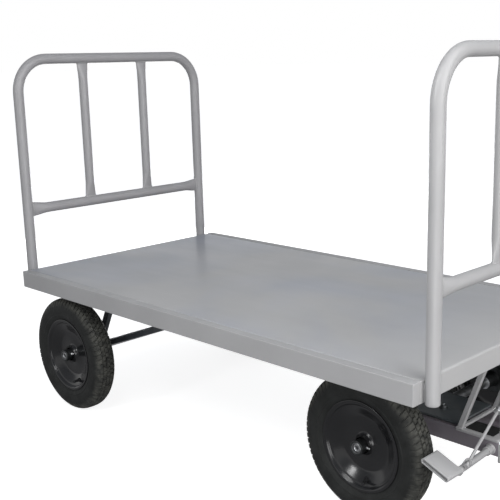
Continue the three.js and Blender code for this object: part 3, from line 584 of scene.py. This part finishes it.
for end, sign, enamel in (("front", 1, GREY), ("rear", -1, REAR_GREY_SHADED)):
    x = centre(f"{end}_headboard_hoop").x
    make(f"{end}_hoop_tube", hoop_shape(x), enamel, "chassis", (f"{end}_headboard_hoop",), sharp=50)
    crossbar_ends = [(x, y, CROSSBAR_Z) for y in (-POST_INSIDE, POST_INSIDE)]
    crossbar = squashed_bar(*crossbar_ends, HOOP_RADIUS, (0, 0, 1))
    make(f"{end}_crossbar_tube", crossbar, enamel, "chassis", (f"{end}_headboard_crossbar",), sharp=50)
    low = CROSSBAR_Z + HOOP_RADIUS - SUNK
    high = HOOP_TOP - HOOP_RADIUS + SUNK
    for side, y in (("right", -BAR_Y), ("left", BAR_Y)):
        node = f"{end}_headboard_bar_{side}"
        upright = squashed_bar((x, y, low), (x, y, high), BAR_RADIUS, (0, 1, 0))
        make(f"{end}_upright_tube_{side}", upright, enamel, "chassis", (node,), sharp=50)
        wide, thin = BAR_RADIUS * SQUASH_WIDE, BAR_RADIUS * SQUASH_THIN
        for z in (low + 0.0022, high - 0.0022):
            seam = ring_path((x, y, z), (0, 0, 1), thin + 0.0006, wide + 0.0006, up=(0, 1, 0))
            bead("chassis", seam, 0.0019)
    for sign_y in (-1, 1):
        face_y = sign_y * (HOOP_Y - HOOP_RADIUS)
        wide, thin = HOOP_RADIUS * SQUASH_WIDE, HOOP_RADIUS * SQUASH_THIN
        bead("chassis", ring_path((x, face_y, CROSSBAR_Z), (0, 1, 0), thin + 0.0008, wide + 0.0008), 0.002)
        for nudge in (-1, 1):
            y = sign_y * HOOP_Y + nudge * POST_SEAM
            face_x = sign * (deck_high.x - deck_low.x) / 2 + centre("deck_tray").x + sign * 0.0012
            seam = [(face_x, y, deck_low.z + 0.002), (face_x, y, deck_high.z - 0.007)]
            bead("chassis", seam, 0.0021, ring=False)


# ---------------------------------------------------------------- axles and what holds them

CENTRE_DRILL = 0.0054


def axle_shape(node, wheel_y):
    """A turned axle with shoulders inside the hubs and a drilled centre in each end."""
    middle, half = centre(node), half_size(node)
    shoulder = wheel_y - half_size("rear_right_hub").y - 0.0003
    thin = 0.0100
    side = [
        (0, half.y - 0.014), (CENTRE_DRILL, half.y - 0.012), (CENTRE_DRILL, half.y - 0.0012),
        (CENTRE_DRILL + 0.0012, half.y), (thin - 0.0012, half.y), (thin, half.y - 0.0012),
        (thin, shoulder), (half.z - 0.001, shoulder), (half.z, shoulder - 0.001),
    ]
    profile = side + [(radius, -height) for radius, height in reversed(side)]
    return lathe(profile, 40).moved(Matrix.Translation(middle) @ Matrix.Rotation(-math.pi / 2, 4, "X"))


REAR_Y = JOINTS["rear_left_spin"]["pos_m"][1]
FRONT_Y = JOINTS["front_left_spin"]["pos_m"][1]
make("rear_axle_shaft", axle_shape("rear_axle", REAR_Y), BRIGHT, "chassis", ("rear_axle",))
make("front_axle_shaft", axle_shape("front_axle", FRONT_Y), BRIGHT, "bogie", ("front_axle",))

for side in ("right", "left"):
    edged(f"rear_axle_leg_{side}", LEG_DARK, "chassis", 0.0012)
    edged(f"rear_brace_{side}", LEG_DARK, "chassis", 0.0012)
    leg_low, leg_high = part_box(f"rear_axle_leg_{side}")
    for y in (leg_low.y, leg_high.y):
        bead("chassis", ring_path((centre("rear_axle").x, y, AXLE_Z), (0, 1, 0), 0.0135))


# ---------------------------------------------------------------- turntable and kingpin

KING_X = JOINTS["steering"]["pos_m"][0]


def disc_shape(node, grooved):
    """A turntable plate with a chamfered rim, and rings pressed into the face that shows."""
    low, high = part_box(node)
    radius, bore = (high.x - low.x) / 2, 0.0105
    face = [
        (radius * 0.80, low.z), (radius * 0.79, low.z - grooved),
        (radius * 0.70, low.z - grooved), (radius * 0.69, low.z),
    ]
    profile = [
        (bore, high.z), (radius - 0.001, high.z), (radius, high.z - 0.001), (radius, low.z + 0.001),
        (radius - 0.001, low.z), *face, (bore, low.z),
    ]
    return lathe(profile, 96).shifted(KING_X, 0, 0)


for place_name, node, grooved, body in (
    ("top", "turntable_upper_plate", 0, "chassis"), ("bottom", "turntable_lower_plate", 0.0015, "bogie"),
):
    make(f"turntable_{place_name}_disc", disc_shape(node, grooved), SHADED, body, (node,))
edged("kingpin", BRIGHT, "chassis", 0.0008)
edged("kingpin_nut", BRIGHT, "chassis", 0.0008)

disc_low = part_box("turntable_lower_plate")[0]
BOLT_CIRCLE = 0.186
race_bolts = []
for k in range(8):
    a = math.radians(22.5 + 45 * k)
    head = bolt(0.0075).moved(Matrix.Rotation(math.pi, 4, "X"))
    race_bolts.append(head.shifted(KING_X + BOLT_CIRCLE * math.cos(a), BOLT_CIRCLE * math.sin(a), disc_low.z))
make("turntable_bolts", combined(race_bolts), BOLT, "bogie")


# ---------------------------------------------------------------- steering bogie

STRUT_FOOT_HALF = 0.0072              # half of a strut's width along X where it meets the subframe
BEAD_RISE = 0.001                     # how far the middle of a bead lies above the face that it is on

for side in ("right", "left"):
    edged(f"bogie_beam_{side}", DARK, "bogie", 0.0012)
    for end in ("front", "rear"):
        node = f"bogie_{end}_strut_{side}"
        edged(node, GREY, "bogie", 0.0016)
        low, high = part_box(node)
        foot_x = low.x + STRUT_FOOT_HALF if end == "front" else high.x - STRUT_FOOT_HALF
        foot_low, foot_high = (foot_x - STRUT_FOOT_HALF, low.y), (foot_x + STRUT_FOOT_HALF, high.y)
        bead("bogie", rectangle_path(foot_low, foot_high, low.z + BEAD_RISE))
edged("bogie_plate", SHADED, "bogie", 0.001)
edged("bogie_subframe", GREY, "bogie", 0.0014)

PLATE_BOLTS_AT = ((0.148, -0.020), (0.208, -0.004), (0.030, -0.050), (0.030, 0.050))    # from its rear edge
plate_low, plate_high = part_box("bogie_plate")
plate_bolts = [bolt(0.0085).shifted(plate_low.x + along, y, plate_high.z) for along, y in PLATE_BOLTS_AT]
make("bogie_plate_bolts", combined(plate_bolts), BOLT, "bogie")


# ---------------------------------------------------------------- drawbar

PIVOT = Vector(JOINTS["drawbar_lift"]["pos_m"])
edged("drawbar_bracket", GREY, "bogie", 0.0014)

handle_at = centre("drawbar_handle")
bar_direction = (handle_at - PIVOT).normalized()
bar_radius = 0.016
handle_radius = half_size("drawbar_handle").x
sleeve_half = half_size("drawbar_tube").y
bar_from = PIVOT + bar_direction * 0.011
bar_to = handle_at - bar_direction * (handle_radius - 0.001)
sleeve_ends = [PIVOT - Vector((0, sleeve_half, 0)), PIVOT + Vector((0, sleeve_half, 0))]
tube_parts = [
    rod(bar_from, bar_to, bar_radius, sides=40),
    sleeve(*sleeve_ends, 0.015, 0.0083, sides=40),
]
make("drawbar_tube_smooth", combined(tube_parts), GREY, "drawbar", ("drawbar_tube",))
handle_half = half_size("drawbar_handle").y
handle_ends = [handle_at + Vector((0, sign * handle_half, 0)) for sign in (-1, 1)]
handle_bar = rod(*handle_ends, handle_radius, sides=40)
make("drawbar_handle_smooth", handle_bar, GREY, "drawbar", ("drawbar_handle",))
bead("drawbar", ring_path(PIVOT + bar_direction * 0.0162, bar_direction, 0.0158), 0.0024)
bead("drawbar", ring_path(handle_at - bar_direction * 0.0118, bar_direction, 0.0155), 0.0024)


def grip_profile(length, radius, bore):
    """A moulded grip: an open collar, raised ribs and a domed end."""
    profile = [(bore, 0), (radius - 0.001, 0), (radius, 0.001), (radius, 0.005), (radius - 0.0016, 0.0062)]
    ribs = 9
    rib_pitch = (length - 0.024) / ribs
    for k in range(ribs):
        start = 0.010 + k * rib_pitch
        profile += [
            (radius - 0.0022, start), (radius - 0.0006, start + 0.0018),
            (radius - 0.0006, start + 0.0058), (radius - 0.0022, start + 0.0076),
        ]
    profile += [
        (radius - 0.0016, length - 0.0105), (radius, length - 0.009), (radius, length - 0.003),
        (radius - 0.0012, length - 0.0009), (radius - 0.004, length), (0, length),
        (0, length - 0.0047), (bore, length - 0.0047),
    ]
    return profile


for side, sign in (("right", -1), ("left", 1)):
    node = f"handle_grip_{side}"
    low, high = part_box(node)
    start = Vector((handle_at.x, low.y if sign > 0 else high.y, handle_at.z))
    end = start + Vector((0, sign, 0))
    shape = lathe(grip_profile(high.y - low.y, (high.x - low.x) / 2, handle_radius + 0.0003), 40)
    make(f"{node}_moulded", shape.moved(turning(start, end)), GRIP, "drawbar", (node,))

pin_low, pin_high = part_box("drawbar_pin")
pin_head = half_size("drawbar_pin").x
pin_radius = 0.008
pin_length = pin_high.y - pin_low.y
pin_profile = [
    (0, 0), (pin_head - 0.0015, 0), (pin_head, 0.0012), (pin_head, 0.0042), (pin_head - 0.0008, 0.005),
    (pin_radius, 0.005), (pin_radius, pin_length - 0.0015), (pin_radius - 0.0015, pin_length),
    (0, pin_length),
]
pin_from = Vector((PIVOT.x, pin_low.y, PIVOT.z))
cotter_y = pin_high.y - 0.0045
cotter_radius = 0.0032
cotter_loop = ring_path(
    (PIVOT.x, cotter_y, PIVOT.z + pin_radius + cotter_radius), (0, 1, 0), cotter_radius, sides=20,
)
cotter_ring = sweep(cotter_loop, circle(0.0011, 10), up=(0, 1, 0), ring=True)
cotter_top = (PIVOT.x, cotter_y, PIVOT.z + pin_radius)
cotter_end = (PIVOT.x, cotter_y, PIVOT.z - pin_radius - 0.006)
cotter_legs = rod(cotter_top, cotter_end, 0.0014, 0.0003, 12)
pin_turned = lathe(pin_profile, 36).moved(turning(pin_from, pin_from + Vector((0, 1, 0))))
pin_shape = combined([pin_turned, cotter_ring, cotter_legs])
make("drawbar_pin_turned", pin_shape, BRIGHT, "bogie", ("drawbar_pin",))


# ---------------------------------------------------------------- tyre brake

PEDAL_ROOT = Vector(JOINTS["brake_pedal"]["pos_m"])
PEDAL_AXIS = Vector(JOINTS["brake_pedal"]["axis"]).normalized()
PEDAL_UP = (Vector((0, 0, 1)) - PEDAL_AXIS * PEDAL_AXIS.z).normalized()
PEDAL_BACK = PEDAL_AXIS.cross(PEDAL_UP)
ROD_FOOT = Vector(JOINTS["brake_rod_swing"]["pos_m"])
guide_low, guide_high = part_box("brake_rod_guide")
GUIDE_HEAD = half_size("brake_rod_guide").x
ROD_EYE = Vector((centre("brake_rod_guide").x, centre("brake_rod_guide").y, guide_high.z - GUIDE_HEAD))
ROD_LENGTH = (ROD_EYE - ROD_FOOT).length


def on_pedal(along, up=0.0, back=0.0):
    """A point of the pedal: along its shaft, up from it and back from it."""
    return PEDAL_ROOT + PEDAL_AXIS * along + PEDAL_UP * up + PEDAL_BACK * back


shoe_low, shoe_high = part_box("brake_shoe")
SHOE_HALF = 0.0065
SHOE_RUN = 0.061
SHOE_WALL = 0.003
SHOE_TILT = math.radians(22.4)
PEDAL_LENGTH = (shoe_high.y - PEDAL_ROOT.y) / PEDAL_AXIS.y


def stadium(radius, run, steps=14):
    """The outline of a flattened tube: two half circles, `run` apart."""
    front = [(radius * math.sin(a), -radius * math.cos(a)) for a in np.linspace(0, math.pi, steps)]
    back = [(-run - radius * math.sin(a), radius * math.cos(a)) for a in np.linspace(0, math.pi, steps)]
    return front + back


def shoe_shape():
    """A short length of flattened tube, open at both sides, sloping up to its rear edge."""
    outer = stadium(SHOE_HALF, SHOE_RUN)
    inner = stadium(SHOE_HALF - SHOE_WALL, SHOE_RUN)
    loops = [(outer, shoe_low.y), (outer, shoe_high.y), (inner, shoe_high.y), (inner, shoe_low.y)]
    points = [(a, y, b) for loop, y in loops for a, b in loop]
    shape = Shape(points, grid_faces(4, len(outer), wrap_rows=True))
    tilt = Matrix.Rotation(SHOE_TILT, 4, "Y")
    return shape.moved(Matrix.Translation((shoe_high.x - SHOE_HALF, 0, shoe_low.z + SHOE_HALF)) @ tilt)


make("brake_foot_plate", shoe_shape(), GREY, "pedal", ("brake_shoe",), bevel=0.0007)

shaft_radius = 0.008
shaft_profile = [(0, 0), (0.0035, 0.0006), (0.0062, 0.0024), (0.0076, 0.005), (shaft_radius, 0.008)]
shaft_profile += [(shaft_radius, PEDAL_LENGTH - 0.004), (0, PEDAL_LENGTH - 0.004)]
shaft = lathe(shaft_profile, 36).moved(turning(on_pedal(0.004), on_pedal(1)))
LUG_AT, LUG_UP, LUG_BACK = 0.156, 0.016, -0.012
LUG_RADIUS, LUG_HOLE, LUG_HALF = 0.0095, 0.0059, 0.002
LUG_REACH = math.hypot(LUG_UP, LUG_BACK)
LUG_FOOT = (0.003, 0.007)             # from the shaft's axis, and half the width there


def on_lug(offset, out, side):
    """A point of the lug: offset along the shaft, out from it towards the hole, and sideways."""
    up = (LUG_UP * out - LUG_BACK * side) / LUG_REACH
    back = (LUG_BACK * out + LUG_UP * side) / LUG_REACH
    return on_pedal(LUG_AT + offset, up, back)


lug_outline = [(LUG_FOOT[0], -LUG_FOOT[1])]
lug_outline += [
    (LUG_REACH + LUG_RADIUS * math.cos(a), LUG_RADIUS * math.sin(a))
    for a in np.linspace(-math.pi / 2, math.pi / 2, 19)
]
lug_outline.append(LUG_FOOT)
hole_start = math.radians(202)        # level with the first corner of the outline
lug_hole = [
    (LUG_REACH + LUG_HOLE * math.cos(a), LUG_HOLE * math.sin(a))
    for a in np.linspace(hole_start, hole_start + 2 * math.pi, len(lug_outline), endpoint=False)
]
lug_loops = ((lug_outline, -LUG_HALF), (lug_outline, LUG_HALF), (lug_hole, LUG_HALF), (lug_hole, -LUG_HALF))
lug_points = [on_lug(offset, out, side) for loop, offset in lug_loops for out, side in loop]
lug = Shape(lug_points, grid_faces(4, len(lug_outline), wrap_rows=True))
make("brake_arm_smooth", combined([shaft, lug]), GREY, "pedal", ("brake_arm",))
bead("pedal", ring_path(on_pedal(PEDAL_LENGTH - 0.0028), PEDAL_AXIS, 0.0085))
boss_radius = 0.0105
boss = sleeve(on_pedal(0.0015), on_pedal(0.024), boss_radius, 0.0083)
make("brake_boss_smooth", boss, GREY, "bogie", ("brake_boss",))
boss_foot = on_pedal(0.002)
bead("bogie", ring_path((boss_foot.x, PEDAL_ROOT.y + 0.0015, boss_foot.z), (0, 1, 0), 0.0108))

rod_radius = 0.0035
shank = [(0, -0.0105), (rod_radius, -0.0105)]
THREADS, THREAD_PITCH = 14, 0.002
for k in range(THREADS):
    start = ROD_LENGTH - 0.006 + k * THREAD_PITCH
    shank += [(rod_radius, start), (rod_radius - 0.0005, start + 0.001)]
shank += [(rod_radius - 0.0006, ROD_LENGTH + 0.0220), (0, ROD_LENGTH + 0.0222)]
rod_parts = [
    lathe(shank, 20), hexagon(0.006, 0.005).shifted(0, 0, -0.013),
    hexagon(0.0064, 0.005, 0.0007).shifted(0, 0, ROD_LENGTH + 0.0125),
]
rod_matrix = turning(ROD_FOOT, ROD_EYE)
make("brake_rod_threaded", combined(rod_parts).moved(rod_matrix), GREY, "rod", ("brake_rod",))

spring_low, spring_high = ROD_LENGTH - 0.0413, ROD_LENGTH - 0.0045
collar_to = ROD_LENGTH - 0.042
collar_from = collar_to - 0.008
collar_profile = [
    (0.0038, collar_from), (0.0082, collar_from), (0.009, collar_from + 0.0008),
    (0.009, collar_to - 0.0008), (0.0082, collar_to), (0.0038, collar_to),
]
collar = lathe(collar_profile, 32).moved(rod_matrix)
make("brake_rod_collar_turned", collar, BRIGHT, "rod", ("brake_rod_collar",))

COIL_TURNS, COIL_SIDES, COIL_RADIUS, WIRE = 8, 22, 0.0069, 0.0009
coil_path = []
for k in range(COIL_TURNS * COIL_SIDES + 1):
    a = k * 2 * math.pi / COIL_SIDES
    share = k / (COIL_TURNS * COIL_SIDES)
    eased = share - 0.035 * math.sin(2 * math.pi * share)
    height = spring_low + WIRE + (spring_high - spring_low - 2 * WIRE) * eased
    coil_path.append((COIL_RADIUS * math.cos(a), COIL_RADIUS * math.sin(a), height))
coil = sweep(coil_path, circle(WIRE, 8)).moved(rod_matrix)
spring = make("brake_return_spring", coil, BRIGHT, "bogie", ("brake_spring",))
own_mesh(spring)
edged("brake_rod_guide", GREY, "bogie", 0.0009)
foot_low = (guide_low.x + 0.005, guide_low.y)
foot_high = (guide_high.x - 0.005, guide_high.y)
bead("bogie", rectangle_path(foot_low, foot_high, guide_low.z + BEAD_RISE), 0.002)


# ---------------------------------------------------------------- wheels, built round their own centres

TREAD_PITCHES = 72                    # the number of blocks round the tyre
# Across the tread, from the middle, in millimetres: distance across, radius, lead (in pitches) and depth of
# the cross grooves.
TREAD_HALF = [
    (0.0, 174.0, 0.00, 3.6), (4.6, 173.9, 0.10, 3.6), (5.4, 169.6, 0.12, 0.0), (6.4, 169.6, 0.44, 0.0),
    (7.2, 173.8, 0.46, 3.6), (11.5, 173.7, 0.56, 3.6), (15.8, 172.9, 0.66, 3.6), (16.6, 168.8, 0.68, 0.0),
    (17.8, 168.4, 1.00, 0.0), (18.6, 171.9, 1.02, 3.6), (23.0, 169.3, 1.14, 3.6), (27.0, 165.3, 1.24, 3.6),
    (30.0, 160.4, 1.31, 3.2), (32.2, 155.4, 1.36, 2.2), (33.7, 151.0, 1.39, 1.0), (34.5, 147.5, 1.40, 0.0),
]
SIDEWALL_HALF = [
    (35.0, 143.5), (35.0, 138.5), (34.7, 133.0), (34.3, 128.4), (34.0, 127.2), (34.5, 126.4), (34.6, 124.4),
    (34.0, 123.4), (33.0, 119.8), (31.4, 116.2), (29.6, 113.6), (28.0, 111.9), (27.2, 109.5), (26.9, 103.6),
]
CAVITY = [(16.0, 104.5), (26.0, 132.0), (18.0, 158.0)]
# Round the tyre: shares of one pitch, and whether the cross groove is cut there.
COLUMN_PLACES = [(0.0, False), (0.07, True), (0.19, True), (0.26, False), (0.5, False), (0.76, False)]


def tyre_shape():
    """An air tyre with a ribbed middle, slanting blocks, shoulder lugs and a raised ring on each sidewall."""
    lead_end = TREAD_HALF[-1][2]
    half = TREAD_HALF + [(y, r, lead_end, 0.0) for y, r in SIDEWALL_HALF]
    rows = [(-y, r, -lead, depth) for y, r, lead, depth in reversed(half)]
    rows += half[1:]
    rows += [(y, r, lead_end, 0.0) for y, r in CAVITY]
    rows += [(-y, r, -lead_end, 0.0) for y, r in reversed(CAVITY)]
    points = []
    for y, radius, lead, depth in rows:
        for pitch in range(TREAD_PITCHES):
            for share, cut in COLUMN_PLACES:
                a = 2 * math.pi * (pitch + share + lead) / TREAD_PITCHES
                r = radius - (depth if cut else 0)
                points.append((r * math.cos(a) * MM, y * MM, r * math.sin(a) * MM))
    return Shape(points, grid_faces(len(rows), TREAD_PITCHES * len(COLUMN_PLACES), wrap_rows=True))


RIM_PROFILE = [
    # The outer side: a rolled lip, the bead seat's wall, a step, the cone and the pressed disc.
    (102.0, -26.6), (106.0, -26.8), (109.2, -27.4), (110.4, -28.7), (110.3, -29.9), (108.8, -30.6),
    (105.8, -30.4), (102.8, -29.2), (100.6, -27.4), (99.4, -25.2), (98.2, -23.8), (96.4, -23.0),
    (94.0, -22.2), (91.6, -20.9), (84.0, -16.6), (76.0, -12.1), (69.0, -8.2), (66.0, -7.0),
    (63.0, -6.6), (30.0, -6.6), (25.5, -8.4), (22.4, -13.4), (20.6, -16.6), (20.0, -20.0),
    # The inner side, back out to the other lip, and the well under the tyre.
    (20.0, -4.2), (60.0, -4.2), (86.0, -4.2), (87.6, -2.6), (87.6, 10.0), (89.0, 12.4),
    (97.4, 17.4), (98.6, 20.0), (99.6, 26.8), (102.6, 29.0), (105.8, 30.3), (108.8, 30.5),
    (110.3, 29.8), (110.4, 28.6), (109.2, 27.3), (106.0, 26.6), (102.0, 26.4), (101.6, 16.6),
    (90.4, 10.4), (90.4, -10.4), (101.6, -16.6),
]
HUB_PROFILE = [
    (13.6, -38.8), (13.6, -40.2), (14.2, -40.8), (16.8, -40.8), (17.7, -40.3), (18.0, -39.2), (18.0, -33.6),
    (17.4, -32.8), (16.8, -32.2), (16.8, -9.0), (19.6, -6.2), (37.4, -6.2), (38.0, -5.6), (38.0, -1.8),
    (37.4, -1.2), (22.6, -1.2), (19.8, 5.0), (19.0, 9.0), (19.0, 39.2), (18.7, 40.3), (17.8, 40.8),
    (14.2, 40.8), (13.6, 40.2), (13.6, 38.8),
]
BUSH_PROFILE = [(10.3, -41.0), (12.6, -41.0), (13.3, -40.3), (13.3, -30.0), (10.3, -30.0)]
FLANGED_BUSH_PROFILE = [(10.3, 41.0), (17.4, 41.0), (17.6, 40.6), (13.3, 40.4), (13.3, 30.0), (10.3, 30.0)]
OUTWARD = Matrix.Rotation(math.pi / 2, 4, "X")       # takes +Z to the wheel's outer side, at -Y


def across(profile, sides):
    """A profile of (radius, distance across) pairs in millimetres, turned round the wheel's axle."""
    metres = [(r * MM, y * MM) for r, y in profile]
    return lathe(metres, sides).moved(Matrix.Rotation(-math.pi / 2, 4, "X"))


def round_the_wheel(shape, radius, height, degrees):
    """Stands a shape on the wheel's outer side, at a radius and an angle seen from outside."""
    a = math.radians(degrees)
    at = Matrix.Translation((radius * math.cos(a) * MM, -height * MM, radius * math.sin(a) * MM))
    return shape.moved(at @ OUTWARD)


def nipple_shape():
    """A grease nipple on the hub: a hexagon, a neck and a round tip."""
    tip = lathe([
        (0, 0.002), (0.0026, 0.002), (0.0026, 0.0048), (0.0017, 0.0056), (0.0017, 0.0066), (0.0024, 0.0076),
        (0.0024, 0.0086), (0.0014, 0.0096), (0, 0.0098),
    ], 20)
    base = hexagon(0.0042, 0.003, 0.0006)
    turn = Matrix.Rotation(math.pi / 2, 4, "Y")
    return combined([base, tip]).moved(Matrix.Translation((0.0165, -0.0225, 0)) @ turn)


def valve_shape():
    """A tube valve through the cone of the rim: a rubber boot, a threaded stem and a ridged cap."""
    boot = lathe([
        (0, -0.004), (0.0062, -0.004), (0.0062, 0.001), (0.0042, 0.004), (0.0042, 0.010), (0, 0.010),
    ], 24)
    stem = lathe([(0, 0.010), (0.0026, 0.010), (0.0026, 0.015), (0, 0.015)], 20)
    ridges = [(0.0036 + 0.0003 * (i % 2), 0.0150 + 0.0011 * i) for i in range(8)]
    cap = lathe([(0, 0.0148), (0.0034, 0.0148), *ridges, (0.0030, 0.0240), (0, 0.0242)], 24)
    lean = Matrix.Rotation(math.radians(16), 4, "Y")
    return round_the_wheel(combined([boot, stem, cap]).moved(lean), radius=84, height=16.5, degrees=278)


tyre_mesh_shape = tyre_shape()
rim_mesh_shape = across(RIM_PROFILE, 96)
hub_mesh_shape = across(HUB_PROFILE, 48)
outer_bush_shape = across(BUSH_PROFILE, 40)
inner_bush_shape = across(FLANGED_BUSH_PROFILE, 40)
nipple = nipple_shape()
valve = valve_shape()

WHEEL_ROLLS = {"rear_right": 17, "rear_left": 203, "front_right": 0, "front_left": 141}   # degrees


def wheel_piece(name, label, shape, material, nodes=(), sharp=38):
    """A piece of one wheel, rolled on by that wheel's angle, with its outer side facing out."""
    rolled = shape.moved(Matrix.Rotation(-math.radians(WHEEL_ROLLS[name]), 4, "Y"))
    facing = 0 if name.endswith("right") else math.pi
    at = JOINTS[f"{name}_spin"]["pos_m"]
    make(f"{name}_{label}", rolled, material, f"wheel_{name}", nodes, sharp=sharp, at=at, turn=(0, 0, facing))


for name in WHEEL_ROLLS:
    wheel_piece(name, "treaded_tyre", tyre_mesh_shape, TYRE, (f"{name}_tyre",), sharp=32)
    wheel_piece(name, "pressed_rim", rim_mesh_shape, BLACK, (f"{name}_rim",), sharp=50)
    wheel_piece(name, "turned_hub", hub_mesh_shape, ZINC, (f"{name}_hub",))
    wheel_piece(name, "outer_bush", outer_bush_shape, BUSH)
    wheel_piece(name, "inner_bush", inner_bush_shape, BRIGHT)
    wheel_piece(name, "grease_nipple", nipple, BRIGHT)
    wheel_piece(name, "air_valve", valve, GRIP)

for body, shapes in BEADS.items():
    make(f"{body}_weld_beads", combined(shapes), GREY, body, sharp=60)


# ---------------------------------------------------------------- floor, light and camera

FLOOR_SIZE = 160
FLOOR_DROP = 0.0005                   # keeps the floor just clear of the tyres
bpy.ops.mesh.primitive_plane_add(size=FLOOR_SIZE, location=(0, 0, -FLOOR_DROP))
floor = bpy.context.object
floor.name = "floor"
floor_paper = Nodes("pale_floor", "", (0.60, 0.60, 0.60), 0.9)
floor_paper.shader.inputs["Emission Color"].default_value = (1, 1, 1, 1)
floor_paper.shader.inputs["Emission Strength"].default_value = 0.80
floor_paper.shader.inputs["Specular IOR Level"].default_value = 0.0
floor.data.materials.append(floor_paper.material)
# The floor is only a pale ground: the light and the reflections from below are the sky's lower half.
floor.visible_diffuse = False
floor.visible_glossy = False

world = bpy.data.worlds.new("studio")
bpy.context.scene.world = world
world.use_nodes = True
# The sky lights the trolley dimly from below and above, and brightly from a band round the horizon.
# Behind the trolley it is plain white.
sky = world.node_tree
sky_split = sky.nodes.new("ShaderNodeSeparateXYZ")
sky_height = sky.nodes.new("ShaderNodeMapRange")
sky_height.inputs["From Min"].default_value = -1.0
sky_ramp = sky.nodes.new("ShaderNodeValToRGB")
sky.links.new(sky.nodes.new("ShaderNodeTexCoord").outputs["Generated"], sky_split.inputs[0])
sky.links.new(sky_split.outputs["Z"], sky_height.inputs["Value"])
sky.links.new(sky_height.outputs["Result"], sky_ramp.inputs["Fac"])
sky_seen = sky.nodes.new("ShaderNodeMix")
sky_seen.data_type = "RGBA"
sky_seen.inputs["B"].default_value = (1, 1, 1, 1)
sky.links.new(sky.nodes.new("ShaderNodeLightPath").outputs["Is Camera Ray"], sky_seen.inputs["Factor"])
sky.links.new(sky_ramp.outputs["Color"], sky_seen.inputs["A"])
sky.links.new(sky_seen.outputs["Result"], sky.nodes["Background"].inputs["Color"])
WHITE = (1, 1, 1)
set_stops(sky_ramp.color_ramp, [      # heights from 0, straight down, to 1, straight up
    (0.46, (0.32, 0.32, 0.33)), (0.48, WHITE), (0.57, WHITE), (0.62, (0.34, 0.355, 0.38)),
])


def area_light(name, at, target, size, power, color=WHITE):
    """A rectangular lamp that faces a target, and that the camera doesn't see."""
    data = bpy.data.lights.new(name, "AREA")
    data.shape = "RECTANGLE"
    data.size, data.size_y = size
    data.energy = power
    data.color = color
    light = bpy.data.objects.new(name, data)
    light.location = at
    light.rotation_euler = (Vector(target) - Vector(at)).to_track_quat("-Z", "Y").to_euler()
    light.visible_camera = False
    bpy.context.scene.collection.objects.link(light)


area_light("front_softbox", (2.4, -0.6, 1.3), (0.1, -0.1, 0.4), (1.4, 1.4), 43, (1.0, 0.985, 0.97))
area_light("low_softbox", (1.6, -1.9, 0.4), (0.1, -0.1, 0.4), (1.2, 1.2), 21)
area_light("top_softbox", (1.6, -0.4, 2.6), (0.1, -0.1, 0.4), (1.8, 1.8), 36)
area_light("near_softbox", (0.0, -1.2, 1.6), (0.0, -0.3, 0.4), (0.8, 0.8), 11)
area_light("side_window", (-0.54, -2.93, 1.36), (0.06, -0.29, 0.1), (0.45, 0.45), 16)
area_light("rear_strip", (-2.9, 1.9, 0.25), (0.0, 0.0, 0.3), (2.4, 0.35), 20)

CAMERA_AT = (1.2772, -1.7666, 1.0532)
AZIMUTH, ELEVATION, ROLL = math.radians(44.18), math.radians(12.71), math.radians(-1.18)
FOCAL_PER_WIDTH = 879.1 / 500
SENSOR = 36.0

forward = Vector((
    -math.sin(AZIMUTH) * math.cos(ELEVATION), math.cos(AZIMUTH) * math.cos(ELEVATION), -math.sin(ELEVATION),
))
level_right = Vector((math.cos(AZIMUTH), math.sin(AZIMUTH), 0))
level_up = level_right.cross(forward)
right = level_right * math.cos(ROLL) + level_up * math.sin(ROLL)
up = right.cross(forward)
camera_data = bpy.data.cameras.new("camera")
camera_data.sensor_width = SENSOR
camera_data.lens = FOCAL_PER_WIDTH * SENSOR
camera_data.shift_x = -0.0628
camera_data.shift_y = 0.0094
camera_data.clip_end = 200
camera = bpy.data.objects.new("camera", camera_data)
camera.matrix_world = Matrix.Translation(CAMERA_AT) @ Matrix((right, up, -forward)).transposed().to_4x4()
bpy.context.scene.collection.objects.link(camera)
bpy.context.scene.camera = camera
bpy.context.scene.view_settings.view_transform = "Standard"
